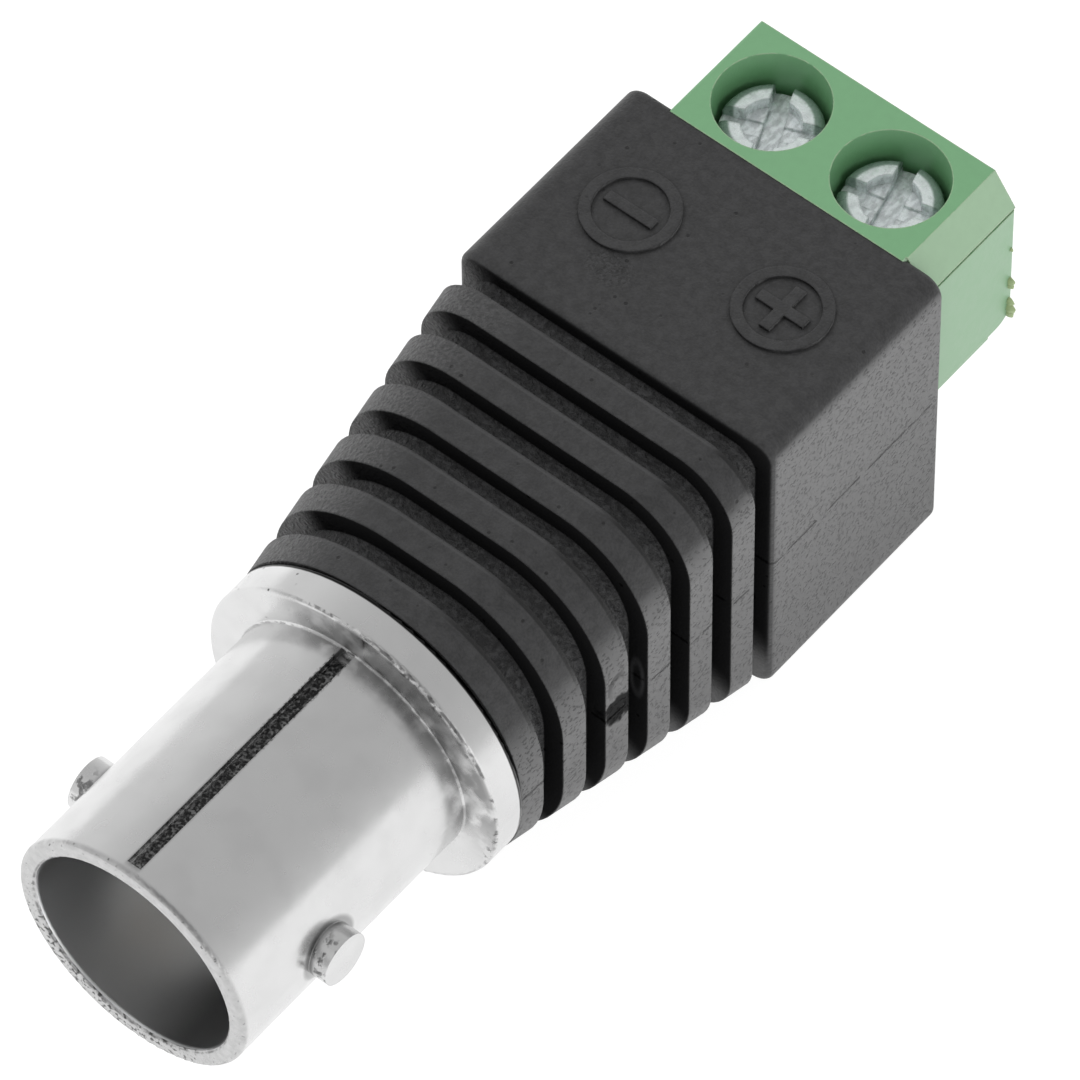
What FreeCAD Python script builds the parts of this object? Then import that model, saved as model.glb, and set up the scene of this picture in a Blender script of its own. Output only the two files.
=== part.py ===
import FreeCAD, Part
import math
import os
import Sketcher
from FreeCAD import Placement, Rotation, Vector

# Two-pole screw terminal adapter with a bayonet coaxial jack. Lengths are in millimetres.
# Origin: centre of the jack's mouth. +X: towards the plus pole. +Y: from the jack to the
# terminals. +Z: up, the way the screw heads face.

SIZES = (
    # alias, value, meaning
    ("barrel_diameter", 9.6, "outside of the jack's barrel"),
    ("barrel_length", 11.18, "mouth to the front of the flange"),
    ("bore_diameter", 8.15, "inside of the barrel"),
    ("bore_depth", 8.9, "mouth to the web that holds the insulator"),
    ("mouth_round", 0.2, "rounding of the rim, outside and inside"),
    ("lug_diameter", 2.0, "bayonet lug"),
    ("lug_span", 10.98, "over both lugs"),
    ("lug_root", 0.35, "lugs inside the wall of the barrel"),
    ("lug_setback", 4.27, "mouth to the axis of the lugs"),
    ("seam_width", 0.55, "recessed casting seam, along the barrel"),
    ("seam_depth", 0.28, "depth of the seam"),
    ("seam_setback", 0.42, "rim left whole in front of the seam"),
    ("flange_diameter", 12.32, "collar between barrel and neck"),
    ("flange_length", 1.42, "thickness of the collar"),
    ("flange_root", 0.08, "fillet between barrel and collar"),
    ("flange_round", 0.18, "rounding of the collar's edges"),
    ("web_thickness", 1.2, "wall across the bore that the insulator seats on"),
    ("spigot_diameter", 9.2, "tail of the casting, inside the neck"),
    ("spigot_length", 4.6, "tail of the casting behind the collar"),
    ("spigot_groove_setback", 0.9, "collar to the ring groove that the moulding grips"),
    ("spigot_groove_width", 1.2, "width of that groove"),
    ("spigot_groove_depth", 0.6, "depth of that groove"),
    ("nose_diameter", 4.7, "insulator in front of the web"),
    ("nose_setback", 5.0, "mouth to the front of the insulator"),
    ("base_diameter", 6.2, "insulator behind the web"),
    ("contact_diameter", 2.0, "socket contact"),
    ("contact_setback", 5.25, "mouth to the front of the socket"),
    ("contact_bore", 1.35, "hole that the mating pin enters"),
    ("contact_bore_depth", 4.0, "depth of that hole"),
    ("contact_slot_width", 0.3, "slots that let the socket spring"),
    ("contact_slot_length", 3.2, "length of the slots"),
    ("contact_collar", 2.9, "collar that holds the contact in the insulator"),
    ("collar_length", 1.5, "length of that collar"),
    ("collar_setback", 1.0, "web to that collar"),
    ("leaf_clearance", 0.2, "room round the socket's leaves"),
    ("tail_diameter", 1.0, "solder tails of the contact and of the ground pin"),
    ("tail_reach", 2.6, "tails behind the end of the spigot"),
    ("pin_offset", 3.85, "jack axis to the axis of the ground pin"),
    ("pin_angle", 225, "direction of the ground pin, from +X towards +Z"),
    ("pin_seat", 2.0, "length of the ground pin inside the casting"),
    ("neck_length", 12.51, "collar to the square end"),
    ("rib_count", 6, "ribs on the neck"),
    ("rib_share", 0.53, "part of each pitch that is rib"),
    ("groove_depth", 0.85, "depth of the grooves between the ribs"),
    ("front_half_width", 6.02, "neck at the collar, to each side"),
    ("front_top", 6.04, "neck at the collar, above the axis"),
    ("front_bottom", 6.1, "neck at the collar, below the axis"),
    ("front_corner", 5.6, "corner radius of the neck at the collar"),
    ("rear_half_width", 6.76, "neck at the square end, to each side"),
    ("rear_top", 6.5, "neck at the square end, above the axis"),
    ("rear_bottom", 7.1, "neck at the square end, below the axis"),
    ("rear_corner", 1.75, "corner radius of the neck at the square end"),
    ("housing_length", 9.05, "square end, along the axis"),
    ("housing_width", 13.4, "square end, across"),
    ("housing_shift", -0.2, "middle of the square end, off the jack's axis"),
    ("housing_top", 6.35, "top of the square end above the axis"),
    ("housing_height", 13.49, "height of the square end"),
    ("housing_corner", 0.8, "rounding of its four long edges"),
    ("housing_edge", 0.25, "rounding of its front and rear edges"),
    ("mark_diameter", 3.5, "outside of the raised polarity rings"),
    ("mark_stroke", 0.42, "line width of the raised marks"),
    ("mark_height", 0.12, "how far the marks stand out"),
    ("mark_root", 0.3, "marks inside the square end"),
    ("mark_spacing", 6.46, "between the centres of the two marks"),
    ("mark_setback", 4.26, "rear of the square end to the centres of the marks"),
    ("mark_bar", 2.0, "length of the strokes inside the rings"),
    ("block_shift", -0.09, "terminal block, off the centre plane"),
    ("block_width", 10.0, "terminal block without its side rib"),
    ("block_reach", 4.71, "terminal block behind the square end"),
    ("block_seat", 3.6, "terminal block inside the square end"),
    ("block_lap", 0.2, "full height of the block inside the square end"),
    ("block_cover", 1.3, "moulding over the seated part of the block"),
    ("block_proud", 0.02, "terminal block above the square end"),
    ("block_floor", 0.5, "floor under the cages"),
    ("block_edge", 0.12, "rounding of the block's outer edges"),
    ("side_rib_width", 0.9, "interlock rib on the plus side"),
    ("side_rib_drop", 1.32, "slope of the rib's shoulder"),
    ("side_rib_height", 6.0, "height of the rib's outer face"),
    ("side_rib_root", 0.4, "rib inside the block's wall"),
    ("side_rib_round", 0.1, "far upright edge of the rib"),
    ("side_rib_notch", 0.12, "fine groove under the rib's shoulder"),
    ("side_rib_foot", 0.8, "far lower corner of the rib"),
    ("pole_pitch", 5.08, "between the two screws"),
    ("screw_setback", 2.47, "rear face of the block to the screws' axes"),
    ("shaft_diameter", 4.1, "round shafts above the screws"),
    ("head_diameter", 3.66, "screw head"),
    ("head_recess", 1.15, "screw head below the top of the block"),
    ("head_height", 1.3, "screw head"),
    ("head_edge", 0.4, "rounding of the head's rim"),
    ("thread_diameter", 2.5, "screw thread, outside"),
    ("thread_clearance", 0.03, "radial room between screw and cage"),
    ("tip_chamfer", 0.35, "end of the screw"),
    ("slot_width", 0.7, "slot across the head"),
    ("slot_depth", 0.75, "depth of the slot"),
    ("cross_width", 0.62, "arms across the slot"),
    ("cross_depth", 0.6, "depth of these arms"),
    ("recess_diameter", 2.1, "round middle of the recess"),
    ("recess_depth", 0.5, "depth of that middle"),
    ("minus_turn", 113, "turn of the minus screw as it stands"),
    ("plus_turn", 104, "turn of the plus screw as it stands"),
    ("clamp_travel", 1.9, "how far a cage rises"),
    ("stop_gap", 0.05, "room left at both ends of that travel"),
    ("tip_gap", 0.04, "screw tip above the blade"),
    ("cage_width", 3.7, "cage, across"),
    ("cage_depth", 3.9, "cage, along the wire"),
    ("cage_side", 0.5, "side walls of the cage"),
    ("cage_top_wall", 1.1, "threaded wall of the cage"),
    ("cage_floor", 0.8, "clamping wall of the cage"),
    ("cage_round", 0.45, "outer corners of the cage"),
    ("cage_clearance", 0.09, "room round the cage"),
    ("tooth_count", 4, "clamping teeth on the cage's floor"),
    ("tooth_height", 0.12, "height of the teeth"),
    ("tooth_width", 0.3, "width of a tooth at its foot"),
    ("blade_thickness", 0.6, "contact blade"),
    ("blade_clearance", 0.1, "blade to the cage's side walls"),
    ("blade_end_gap", 0.5, "blade's free end to the front of the cage"),
    ("blade_tail", 0.7, "blade behind its pin, inside the block"),
    ("pin_width", 1.0, "solder pin, across"),
    ("pin_length", 2.6, "solder pin below the block"),
    ("pin_point", 0.5, "tapered end of the solder pin"),
    ("slab_reach", 9.0, "tools that cut the neck's grooves, to each side"),
    ("entry_width", 3.0, "wire entry"),
    ("entry_height", 2.2, "wire entry"),
    ("entry_round", 0.8, "corners of the wire entry"),
    ("wire_diameter", 0.8, "conductors"),
    ("sleeve_diameter", 1.5, "insulation of the conductors"),
    ("bare_length", 1.1, "stripped ends of the conductors"),
    ("lead_straight", 1.6, "straight ends of the leads"),
    ("lead_drop", 1.5, "block floor to the leads' ends"),
    ("solder_round", 0.95, "solder joints, across"),
    ("solder_reach", 1.0, "solder joints, along"),
    ("solder_lead", 0.15, "middle of a joint in front of the pin that it holds"),
    ("tool_margin", 1.0, "cutting tools past the faces that they open"),
)

doc = FreeCAD.newDocument("terminal_adapter")
sheet = doc.addObject("Spreadsheet::Sheet", "Dim")
for row, (alias, number, meaning) in enumerate(SIZES, start=1):
    sheet.set(f"A{row}", meaning)
    sheet.set(f"B{row}", str(number))
    sheet.setAlias(f"B{row}", alias)
doc.recompute()

# Places along the axis, each worked out from the sheet.
NECK_START = "(Dim.barrel_length + Dim.flange_length)"
SPIGOT_END = f"({NECK_START} + Dim.spigot_length)"
TAIL_END = f"({SPIGOT_END} + Dim.tail_reach)"
HOUSING_START = f"({NECK_START} + Dim.neck_length)"
HOUSING_END = f"({HOUSING_START} + Dim.housing_length)"
BLOCK_START = f"({HOUSING_END} - Dim.block_seat)"
BLOCK_END = f"({HOUSING_END} + Dim.block_reach)"
SCREW_Y = f"({BLOCK_END} - Dim.screw_setback)"
CAGE_FRONT = f"({SCREW_Y} + Dim.cage_depth / 2)"
CAGE_REAR = f"({SCREW_Y} - Dim.cage_depth / 2)"
PIN_Y = f"({BLOCK_START} + Dim.blade_tail)"

# Heights, from the top of the block down to its floor.
HOUSING_BOTTOM = "(Dim.housing_top - Dim.housing_height)"
BLOCK_TOP = "(Dim.housing_top + Dim.block_proud)"
SEAT_TOP = "(Dim.housing_top - Dim.block_cover)"
HEAD_TOP = f"({BLOCK_TOP} - Dim.head_recess)"
HEAD_BOTTOM = f"({HEAD_TOP} - Dim.head_height)"
CAGE_TOP = f"({HEAD_BOTTOM} - Dim.stop_gap - Dim.clamp_travel)"
BLADE_TOP = f"({CAGE_TOP} - Dim.cage_top_wall - Dim.stop_gap)"
BLADE_BOTTOM = f"({BLADE_TOP} - Dim.blade_thickness)"
CAGE_FLOOR = f"({BLADE_BOTTOM} - Dim.stop_gap - Dim.tooth_height - Dim.clamp_travel)"
CAGE_BOTTOM = f"({CAGE_FLOOR} - Dim.cage_floor)"
POCKET_BOTTOM = f"({CAGE_BOTTOM} - Dim.cage_clearance)"
BLOCK_BOTTOM = f"({POCKET_BOTTOM} - Dim.block_floor)"
PIN_TIP = f"({BLOCK_BOTTOM} - Dim.pin_length)"
LEAD_END_Z = f"({BLOCK_BOTTOM} - Dim.lead_drop)"

# The two poles: side of the axis, and how the screw stands.
POLES = {
    "minus": {"x": "(Dim.block_shift - Dim.pole_pitch / 2)", "turn": "Dim.minus_turn"},
    "plus": {"x": "(Dim.block_shift + Dim.pole_pitch / 2)", "turn": "Dim.plus_turn"},
}
BLOCK_LEFT = "(Dim.block_shift - Dim.block_width / 2)"
BLOCK_RIGHT = "(Dim.block_shift + Dim.block_width / 2)"
PIN_X = "(Dim.pin_offset * cos(Dim.pin_angle * 1deg))"
PIN_Z = "(Dim.pin_offset * sin(Dim.pin_angle * 1deg))"

ALONG_Y = Rotation(Vector(1, 0, 0), -90)
nodes = []


def value(expression):
    """Number that an expression of the sheet gives now."""
    return float(sheet.evalExpression(expression))


def place(thing, across="0", along="0", up="0"):
    """Tie the place of an object to three expressions."""
    thing.setExpression("Placement.Base.x", across)
    thing.setExpression("Placement.Base.y", along)
    thing.setExpression("Placement.Base.z", up)


def box(name, across, along, up):
    """Box between a low and a high expression on each axis."""
    solid = doc.addObject("Part::Box", name)
    for side, (low, high) in zip(("Length", "Width", "Height"), (across, along, up)):
        solid.setExpression(side, f"{high} - {low}")
    place(solid, across[0], along[0], up[0])
    return solid


def upright_rod(name, radius, bottom, top, across="0", along="0"):
    """Cylinder along Z between two heights."""
    solid = doc.addObject("Part::Cylinder", name)
    solid.setExpression("Radius", radius)
    solid.setExpression("Height", f"{top} - {bottom}")
    place(solid, across, along, bottom)
    return solid


def axial_rod(name, radius, start, end, across="0", up="0"):
    """Cylinder along Y between two places."""
    solid = doc.addObject("Part::Cylinder", name)
    solid.Placement = Placement(Vector(), ALONG_Y)
    solid.setExpression("Radius", radius)
    solid.setExpression("Height", f"{end} - {start}")
    place(solid, across, start, up)
    return solid


def fuse(name, solids):
    joined = doc.addObject("Part::MultiFuse", name)
    joined.Shapes = solids
    joined.Refine = True
    return joined


def cut(name, base, tool):
    result = doc.addObject("Part::Cut", name)
    result.Base = base
    result.Tool = tool
    result.Refine = True
    return result


def new_body(name):
    return doc.addObject("PartDesign::Body", name)


def new_sketch(body, role, offset="0"):
    """Sketch on an origin plane of the body, moved along the plane's normal."""
    sketch = body.newObject("Sketcher::SketchObject", f"{body.Name}_sketch")
    plane = next(item for item in body.Origin.OriginFeatures if item.Role == role)
    sketch.AttachmentSupport = [(plane, "")]
    sketch.MapMode = "FlatFace"
    sketch.setExpression("AttachmentOffset.Base.z", offset)
    return sketch


def dimension(sketch, kind, places, expression):
    """Add a dimension to a sketch and tie it to the sheet."""
    number = sketch.addConstraint(Sketcher.Constraint(kind, *places, value(expression)))
    sketch.setExpression(f"Constraints[{number}]", expression)


def polygon(sketch, points):
    """Closed outline of straight lines; each point is a pair of expressions."""
    first = sketch.GeometryCount
    corners = [Vector(value(across), value(up), 0) for across, up in points]
    for corner, following in zip(corners, corners[1:] + corners[:1]):
        sketch.addGeometry(Part.LineSegment(corner, following))
    for index, (across, up) in enumerate(points):
        line = first + index
        following = first + (index + 1) % len(points)
        sketch.addConstraint(Sketcher.Constraint("Coincident", line, 2, following, 1))
        dimension(sketch, "DistanceX", (-1, 1, line, 1), across)
        dimension(sketch, "DistanceY", (-1, 1, line, 1), up)


def circle(sketch, radius, across="0", up="0"):
    """Circle with its centre at a pair of expressions."""
    centre = Vector(value(across), value(up), 0)
    edge = sketch.addGeometry(Part.Circle(centre, Vector(0, 0, 1), value(radius)))
    dimension(sketch, "Radius", (edge,), radius)
    dimension(sketch, "DistanceX", (-1, 1, edge, 3), across)
    dimension(sketch, "DistanceY", (-1, 1, edge, 3), up)


def rounded_rectangle(sketch, left, right, bottom, top, radius):
    """Rectangle with four equal round corners, each size an expression."""
    first = sketch.GeometryCount
    low_x, high_x, low_y, high_y, turn = [value(item) for item in (left, right, bottom, top, radius)]
    sides = (
        (low_x + turn, low_y, high_x - turn, low_y),
        (high_x, low_y + turn, high_x, high_y - turn),
        (high_x - turn, high_y, low_x + turn, high_y),
        (low_x, high_y - turn, low_x, low_y + turn),
    )
    centres = (
        (high_x - turn, low_y + turn, 270),
        (high_x - turn, high_y - turn, 0),
        (low_x + turn, high_y - turn, 90),
        (low_x + turn, low_y + turn, 180),
    )
    for x_start, y_start, x_end, y_end in sides:
        sketch.addGeometry(Part.LineSegment(Vector(x_start, y_start, 0), Vector(x_end, y_end, 0)))
    for x_centre, y_centre, start in centres:
        whole = Part.Circle(Vector(x_centre, y_centre, 0), Vector(0, 0, 1), turn)
        sketch.addGeometry(Part.ArcOfCircle(whole, math.radians(start), math.radians(start + 90)))
    for index in range(4):
        line, corner, following = first + index, first + 4 + index, first + (index + 1) % 4
        sketch.addConstraint(Sketcher.Constraint("Tangent", line, 2, corner, 1))
        sketch.addConstraint(Sketcher.Constraint("Tangent", corner, 2, following, 1))
        sketch.addConstraint(Sketcher.Constraint("Vertical" if index % 2 else "Horizontal", line))
        if index:
            sketch.addConstraint(Sketcher.Constraint("Equal", first + 4, corner))
    dimension(sketch, "Radius", (first + 4,), radius)
    dimension(sketch, "DistanceY", (-1, 1, first, 1), bottom)
    dimension(sketch, "DistanceX", (-1, 1, first + 1, 1), right)
    dimension(sketch, "DistanceY", (-1, 1, first + 2, 1), top)
    dimension(sketch, "DistanceX", (-1, 1, first + 3, 1), left)


def corner_waste(sketch, across, up, radius):
    """What a round leaves of a corner that points right and down, as an outline."""
    right, low, turn_radius = value(across), value(up), value(radius)
    start, corner = Vector(right - turn_radius, low, 0), Vector(right, low, 0)
    whole = Part.Circle(Vector(right - turn_radius, low + turn_radius, 0), Vector(0, 0, 1), turn_radius)
    sketch.addGeometry(Part.LineSegment(start, corner))
    sketch.addGeometry(Part.LineSegment(corner, Vector(right, low + turn_radius, 0)))
    sketch.addGeometry(Part.ArcOfCircle(whole, math.radians(270), math.radians(360)))
    for kind, places in (
        ("Coincident", (0, 2, 1, 1)),
        ("Tangent", (0, 1, 2, 1)),
        ("Tangent", (1, 2, 2, 2)),
        ("Horizontal", (0,)),
        ("Vertical", (1,)),
    ):
        sketch.addConstraint(Sketcher.Constraint(kind, *places))
    dimension(sketch, "Radius", (2,), radius)
    dimension(sketch, "DistanceX", (-1, 1, 0, 2), across)
    dimension(sketch, "DistanceY", (-1, 1, 0, 2), up)


def start_feature(body, kind, name, sketch):
    """Start a feature of a body on a sketch."""
    feature = body.newObject(kind, f"{body.Name}_{name}")
    feature.Profile = sketch
    return feature


def turn(body, sketch):
    """Turn an outline about the upright axis of its sketch."""
    feature = start_feature(body, "PartDesign::Revolution", "turned", sketch)
    feature.ReferenceAxis = (sketch, ["V_Axis"])
    feature.Angle = 360
    doc.recompute()


def pad(body, sketch, length):
    """Raise an outline along the normal of its sketch."""
    feature = start_feature(body, "PartDesign::Pad", "pad", sketch)
    feature.setExpression("Length", length)
    doc.recompute()
    return feature


def pocket(body, sketch, depth):
    """Sink an outline against the normal of its sketch, and check that it took something away."""
    before = body.Shape.Volume
    feature = start_feature(body, "PartDesign::Pocket", "pocket", sketch)
    feature.setExpression("Length", depth)
    doc.recompute()
    if not body.Shape.Volume < before:
        raise RuntimeError(f"{feature.Name} cuts nothing")
    return feature


def mirrored(body, feature, role):
    """Repeat a feature on the other side of an origin plane."""
    plane = next(item for item in body.Origin.OriginFeatures if item.Role == role)
    copy = body.newObject("PartDesign::Mirrored", f"{feature.Name}_mirrored")
    copy.Originals = [feature]
    copy.MirrorPlane = (plane, [""])
    body.Tip = copy
    doc.recompute()


def rounded(body, radius, chosen):
    """Round those edges of a body that a test picks."""
    base = body.Tip
    picked = [f"Edge{count}" for count, edge in enumerate(base.Shape.Edges, start=1) if chosen(edge)]
    feature = body.newObject("PartDesign::Fillet", f"{body.Name}_rounded")
    feature.Base = (base, picked)
    feature.setExpression("Radius", radius)
    doc.recompute()


def lies_across(edge, along, radius=None):
    """Whether an edge lies in the plane Y = along, and is a ring of that radius if one is given."""
    box_of_edge = edge.BoundBox
    flat = max(abs(box_of_edge.YMin - along), abs(box_of_edge.YMax - along)) < 1e-4
    if radius is None:
        return flat
    return flat and isinstance(edge.Curve, Part.Circle) and abs(edge.Curve.Radius - radius) < 1e-4


def node(solid, label):
    """Take a finished solid as one piece of the adapter."""
    solid.Label = label
    nodes.append(solid)
    return solid


# The jack.
WEB_END = "(Dim.bore_depth + Dim.web_thickness)"
COLLAR_START = f"({WEB_END} + Dim.collar_setback)"
COLLAR_END = f"({COLLAR_START} + Dim.collar_length)"
GRIP_START = f"({NECK_START} + Dim.spigot_groove_setback)"
GRIP_END = f"({GRIP_START} + Dim.spigot_groove_width)"


def make_shell(ground_pin):
    """Plated die-casting: barrel, lugs, seams, collar, and the spigot in the moulding."""
    bore, barrel, flange = "Dim.bore_diameter / 2", "Dim.barrel_diameter / 2", "Dim.flange_diameter / 2"
    spigot, base, nose = "Dim.spigot_diameter / 2", "Dim.base_diameter / 2", "Dim.nose_diameter / 2"
    grip = "(Dim.spigot_diameter / 2 - Dim.spigot_groove_depth)"
    body = new_body("shell_casting")
    outline = new_sketch(body, "XY_Plane")
    polygon(outline, (
        (bore, "0"),
        (barrel, "0"),
        (barrel, "Dim.barrel_length"),
        (flange, "Dim.barrel_length"),
        (flange, NECK_START),
        (spigot, NECK_START),
        (spigot, GRIP_START),
        (grip, GRIP_START),
        (grip, GRIP_END),
        (spigot, GRIP_END),
        (spigot, SPIGOT_END),
        (base, SPIGOT_END),
        (base, WEB_END),
        (nose, WEB_END),
        (nose, "Dim.bore_depth"),
        (bore, "Dim.bore_depth"),
    ))
    turn(body, outline)
    rounded(body, "Dim.mouth_round", lambda edge: lies_across(edge, 0.0))
    flange_radius = value(flange)
    flange_rims = (value("Dim.barrel_length"), value(NECK_START))
    rounded(body, "Dim.flange_round", lambda edge: any(
        lies_across(edge, along, flange_radius) for along in flange_rims))
    barrel_radius = value(barrel)
    rounded(body, "Dim.flange_root", lambda edge: lies_across(edge, flange_rims[0], barrel_radius))

    lug = new_sketch(body, "YZ_Plane", f"{barrel} - Dim.lug_root")
    circle(lug, "Dim.lug_diameter / 2", "Dim.lug_setback", "0")
    mirrored(body, pad(body, lug, f"Dim.lug_span / 2 - {barrel} + Dim.lug_root"), "YZ_Plane")

    seam = new_sketch(body, "XY_Plane", barrel)
    polygon(seam, (
        ("-Dim.seam_width / 2", "Dim.seam_setback"),
        ("Dim.seam_width / 2", "Dim.seam_setback"),
        ("Dim.seam_width / 2", "Dim.barrel_length"),
        ("-Dim.seam_width / 2", "Dim.barrel_length"),
    ))
    mirrored(body, pocket(body, seam, "Dim.seam_depth"), "XY_Plane")
    return node(cut("bnc_shell_drilled", body, ground_pin), "bnc_shell")


def make_insulator():
    """Dielectric with a nose through the web and room for the socket's leaves."""
    contact, leaves = "Dim.contact_diameter / 2", "(Dim.contact_diameter / 2 + Dim.leaf_clearance)"
    nose, base, collar = "Dim.nose_diameter / 2", "Dim.base_diameter / 2", "Dim.contact_collar / 2"
    leaf_end = "(Dim.contact_setback + Dim.contact_slot_length)"
    body = new_body("insulator_moulding")
    outline = new_sketch(body, "XY_Plane")
    polygon(outline, (
        (leaves, "Dim.nose_setback"),
        (nose, "Dim.nose_setback"),
        (nose, WEB_END),
        (base, WEB_END),
        (base, SPIGOT_END),
        (contact, SPIGOT_END),
        (contact, COLLAR_END),
        (collar, COLLAR_END),
        (collar, COLLAR_START),
        (contact, COLLAR_START),
        (contact, leaf_end),
        (leaves, leaf_end),
    ))
    turn(body, outline)
    return node(body, "bnc_insulator")


def make_centre_contact():
    """Turned socket with a collar, a solder tail and two crossing slots."""
    contact, collar = "Dim.contact_diameter / 2", "Dim.contact_collar / 2"
    bore, tail = "Dim.contact_bore / 2", "Dim.tail_diameter / 2"
    bore_end = "(Dim.contact_setback + Dim.contact_bore_depth)"
    body = new_body("contact_turning")
    outline = new_sketch(body, "XY_Plane")
    polygon(outline, (
        (bore, "Dim.contact_setback"),
        (contact, "Dim.contact_setback"),
        (contact, COLLAR_START),
        (collar, COLLAR_START),
        (collar, COLLAR_END),
        (contact, COLLAR_END),
        (contact, SPIGOT_END),
        (tail, SPIGOT_END),
        (tail, TAIL_END),
        ("0", TAIL_END),
        ("0", bore_end),
        (bore, bore_end),
    ))
    turn(body, outline)
    half, wide = "Dim.contact_slot_width / 2", "Dim.contact_diameter"
    length = ("Dim.contact_setback", "(Dim.contact_setback + Dim.contact_slot_length)")
    slots = fuse("contact_slots", [
        box("contact_slot_upright", (f"-{half}", half), length, (f"-{wide}", wide)),
        box("contact_slot_level", (f"-{wide}", wide), length, (f"-{half}", half)),
    ])
    return node(cut("contact_slotted", body, slots), "centre_contact")


def make_ground_pin():
    """Pin pressed into the rear face of the casting."""
    start = f"({SPIGOT_END} - Dim.pin_seat)"
    return node(axial_rod("pin_wire", "Dim.tail_diameter / 2", start, TAIL_END, PIN_X, PIN_Z), "ground_pin")


# The terminal block.
BLADE_END = f"({CAGE_FRONT} - Dim.blade_end_gap)"
BLADE_HALF = "(Dim.cage_width / 2 - Dim.cage_side - Dim.blade_clearance)"
CAGE_HALF = "Dim.cage_width / 2"
PIN_FRONT = f"({PIN_Y} - Dim.blade_thickness / 2)"
PIN_REAR = f"({PIN_Y} + Dim.blade_thickness / 2)"


def make_block_form():
    """Outer form of the green moulding: the block and the interlock rib on its plus side."""
    body = new_body("block_form")
    outline = new_sketch(body, "XZ_Plane", f"-{BLOCK_END}")
    rounded_rectangle(outline, BLOCK_LEFT, BLOCK_RIGHT, BLOCK_BOTTOM, BLOCK_TOP, "Dim.block_edge")
    pad(body, outline, "Dim.block_reach + Dim.block_lap")
    seat = new_sketch(body, "XZ_Plane", f"-{BLOCK_END}")
    rounded_rectangle(seat, BLOCK_LEFT, BLOCK_RIGHT, BLOCK_BOTTOM, SEAT_TOP, "Dim.block_edge")
    pad(body, seat, f"{BLOCK_END} - {BLOCK_START}")
    rib = new_sketch(body, "XZ_Plane", f"-{BLOCK_END}")
    inner = f"({BLOCK_RIGHT} - Dim.side_rib_root)"
    outer = f"({BLOCK_RIGHT} + Dim.side_rib_width)"
    notch = f"({outer} - Dim.side_rib_notch)"
    shoulder = f"({BLOCK_TOP} - Dim.side_rib_drop)"
    ledge = f"({shoulder} - Dim.side_rib_notch)"
    lower = f"({shoulder} - Dim.side_rib_height)"
    polygon(rib, (
        (inner, BLOCK_TOP),
        (BLOCK_RIGHT, BLOCK_TOP),
        (outer, shoulder),
        (notch, shoulder),
        (notch, ledge),
        (outer, ledge),
        (outer, lower),
        (inner, lower),
    ))
    pad(body, rib, "Dim.block_reach")
    far, side = value(BLOCK_END), value(outer)
    rounded(body, "Dim.side_rib_round", lambda edge: (
        lies_across(edge, far) and edge.BoundBox.XMin > side - 1e-4))
    foot = new_sketch(body, "YZ_Plane", outer)
    corner_waste(foot, BLOCK_END, lower, "Dim.side_rib_foot")
    pocket(body, foot, "Dim.side_rib_width")
    return body


def make_blade(pole, across):
    """Folded contact blade: a flat tongue in the cage and a solder pin below the block."""
    body = new_body(f"blade_{pole}")
    tongue = new_sketch(body, "YZ_Plane", f"-{BLADE_HALF}")
    polygon(tongue, (
        (PIN_FRONT, BLADE_BOTTOM),
        (BLADE_END, BLADE_BOTTOM),
        (BLADE_END, BLADE_TOP),
        (PIN_FRONT, BLADE_TOP),
    ))
    pad(body, tongue, f"2 * {BLADE_HALF}")
    pin = new_sketch(body, "YZ_Plane", "-Dim.pin_width / 2")
    quarter = "Dim.blade_thickness / 4"
    polygon(pin, (
        (PIN_FRONT, BLADE_TOP),
        (PIN_FRONT, f"{PIN_TIP} + Dim.pin_point"),
        (f"{PIN_FRONT} + {quarter}", PIN_TIP),
        (f"{PIN_REAR} - {quarter}", PIN_TIP),
        (PIN_REAR, f"{PIN_TIP} + Dim.pin_point"),
        (PIN_REAR, BLADE_TOP),
    ))
    pad(body, pin, "Dim.pin_width")
    place(body, across)
    return node(body, f"contact_blade_{pole}")


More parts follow.
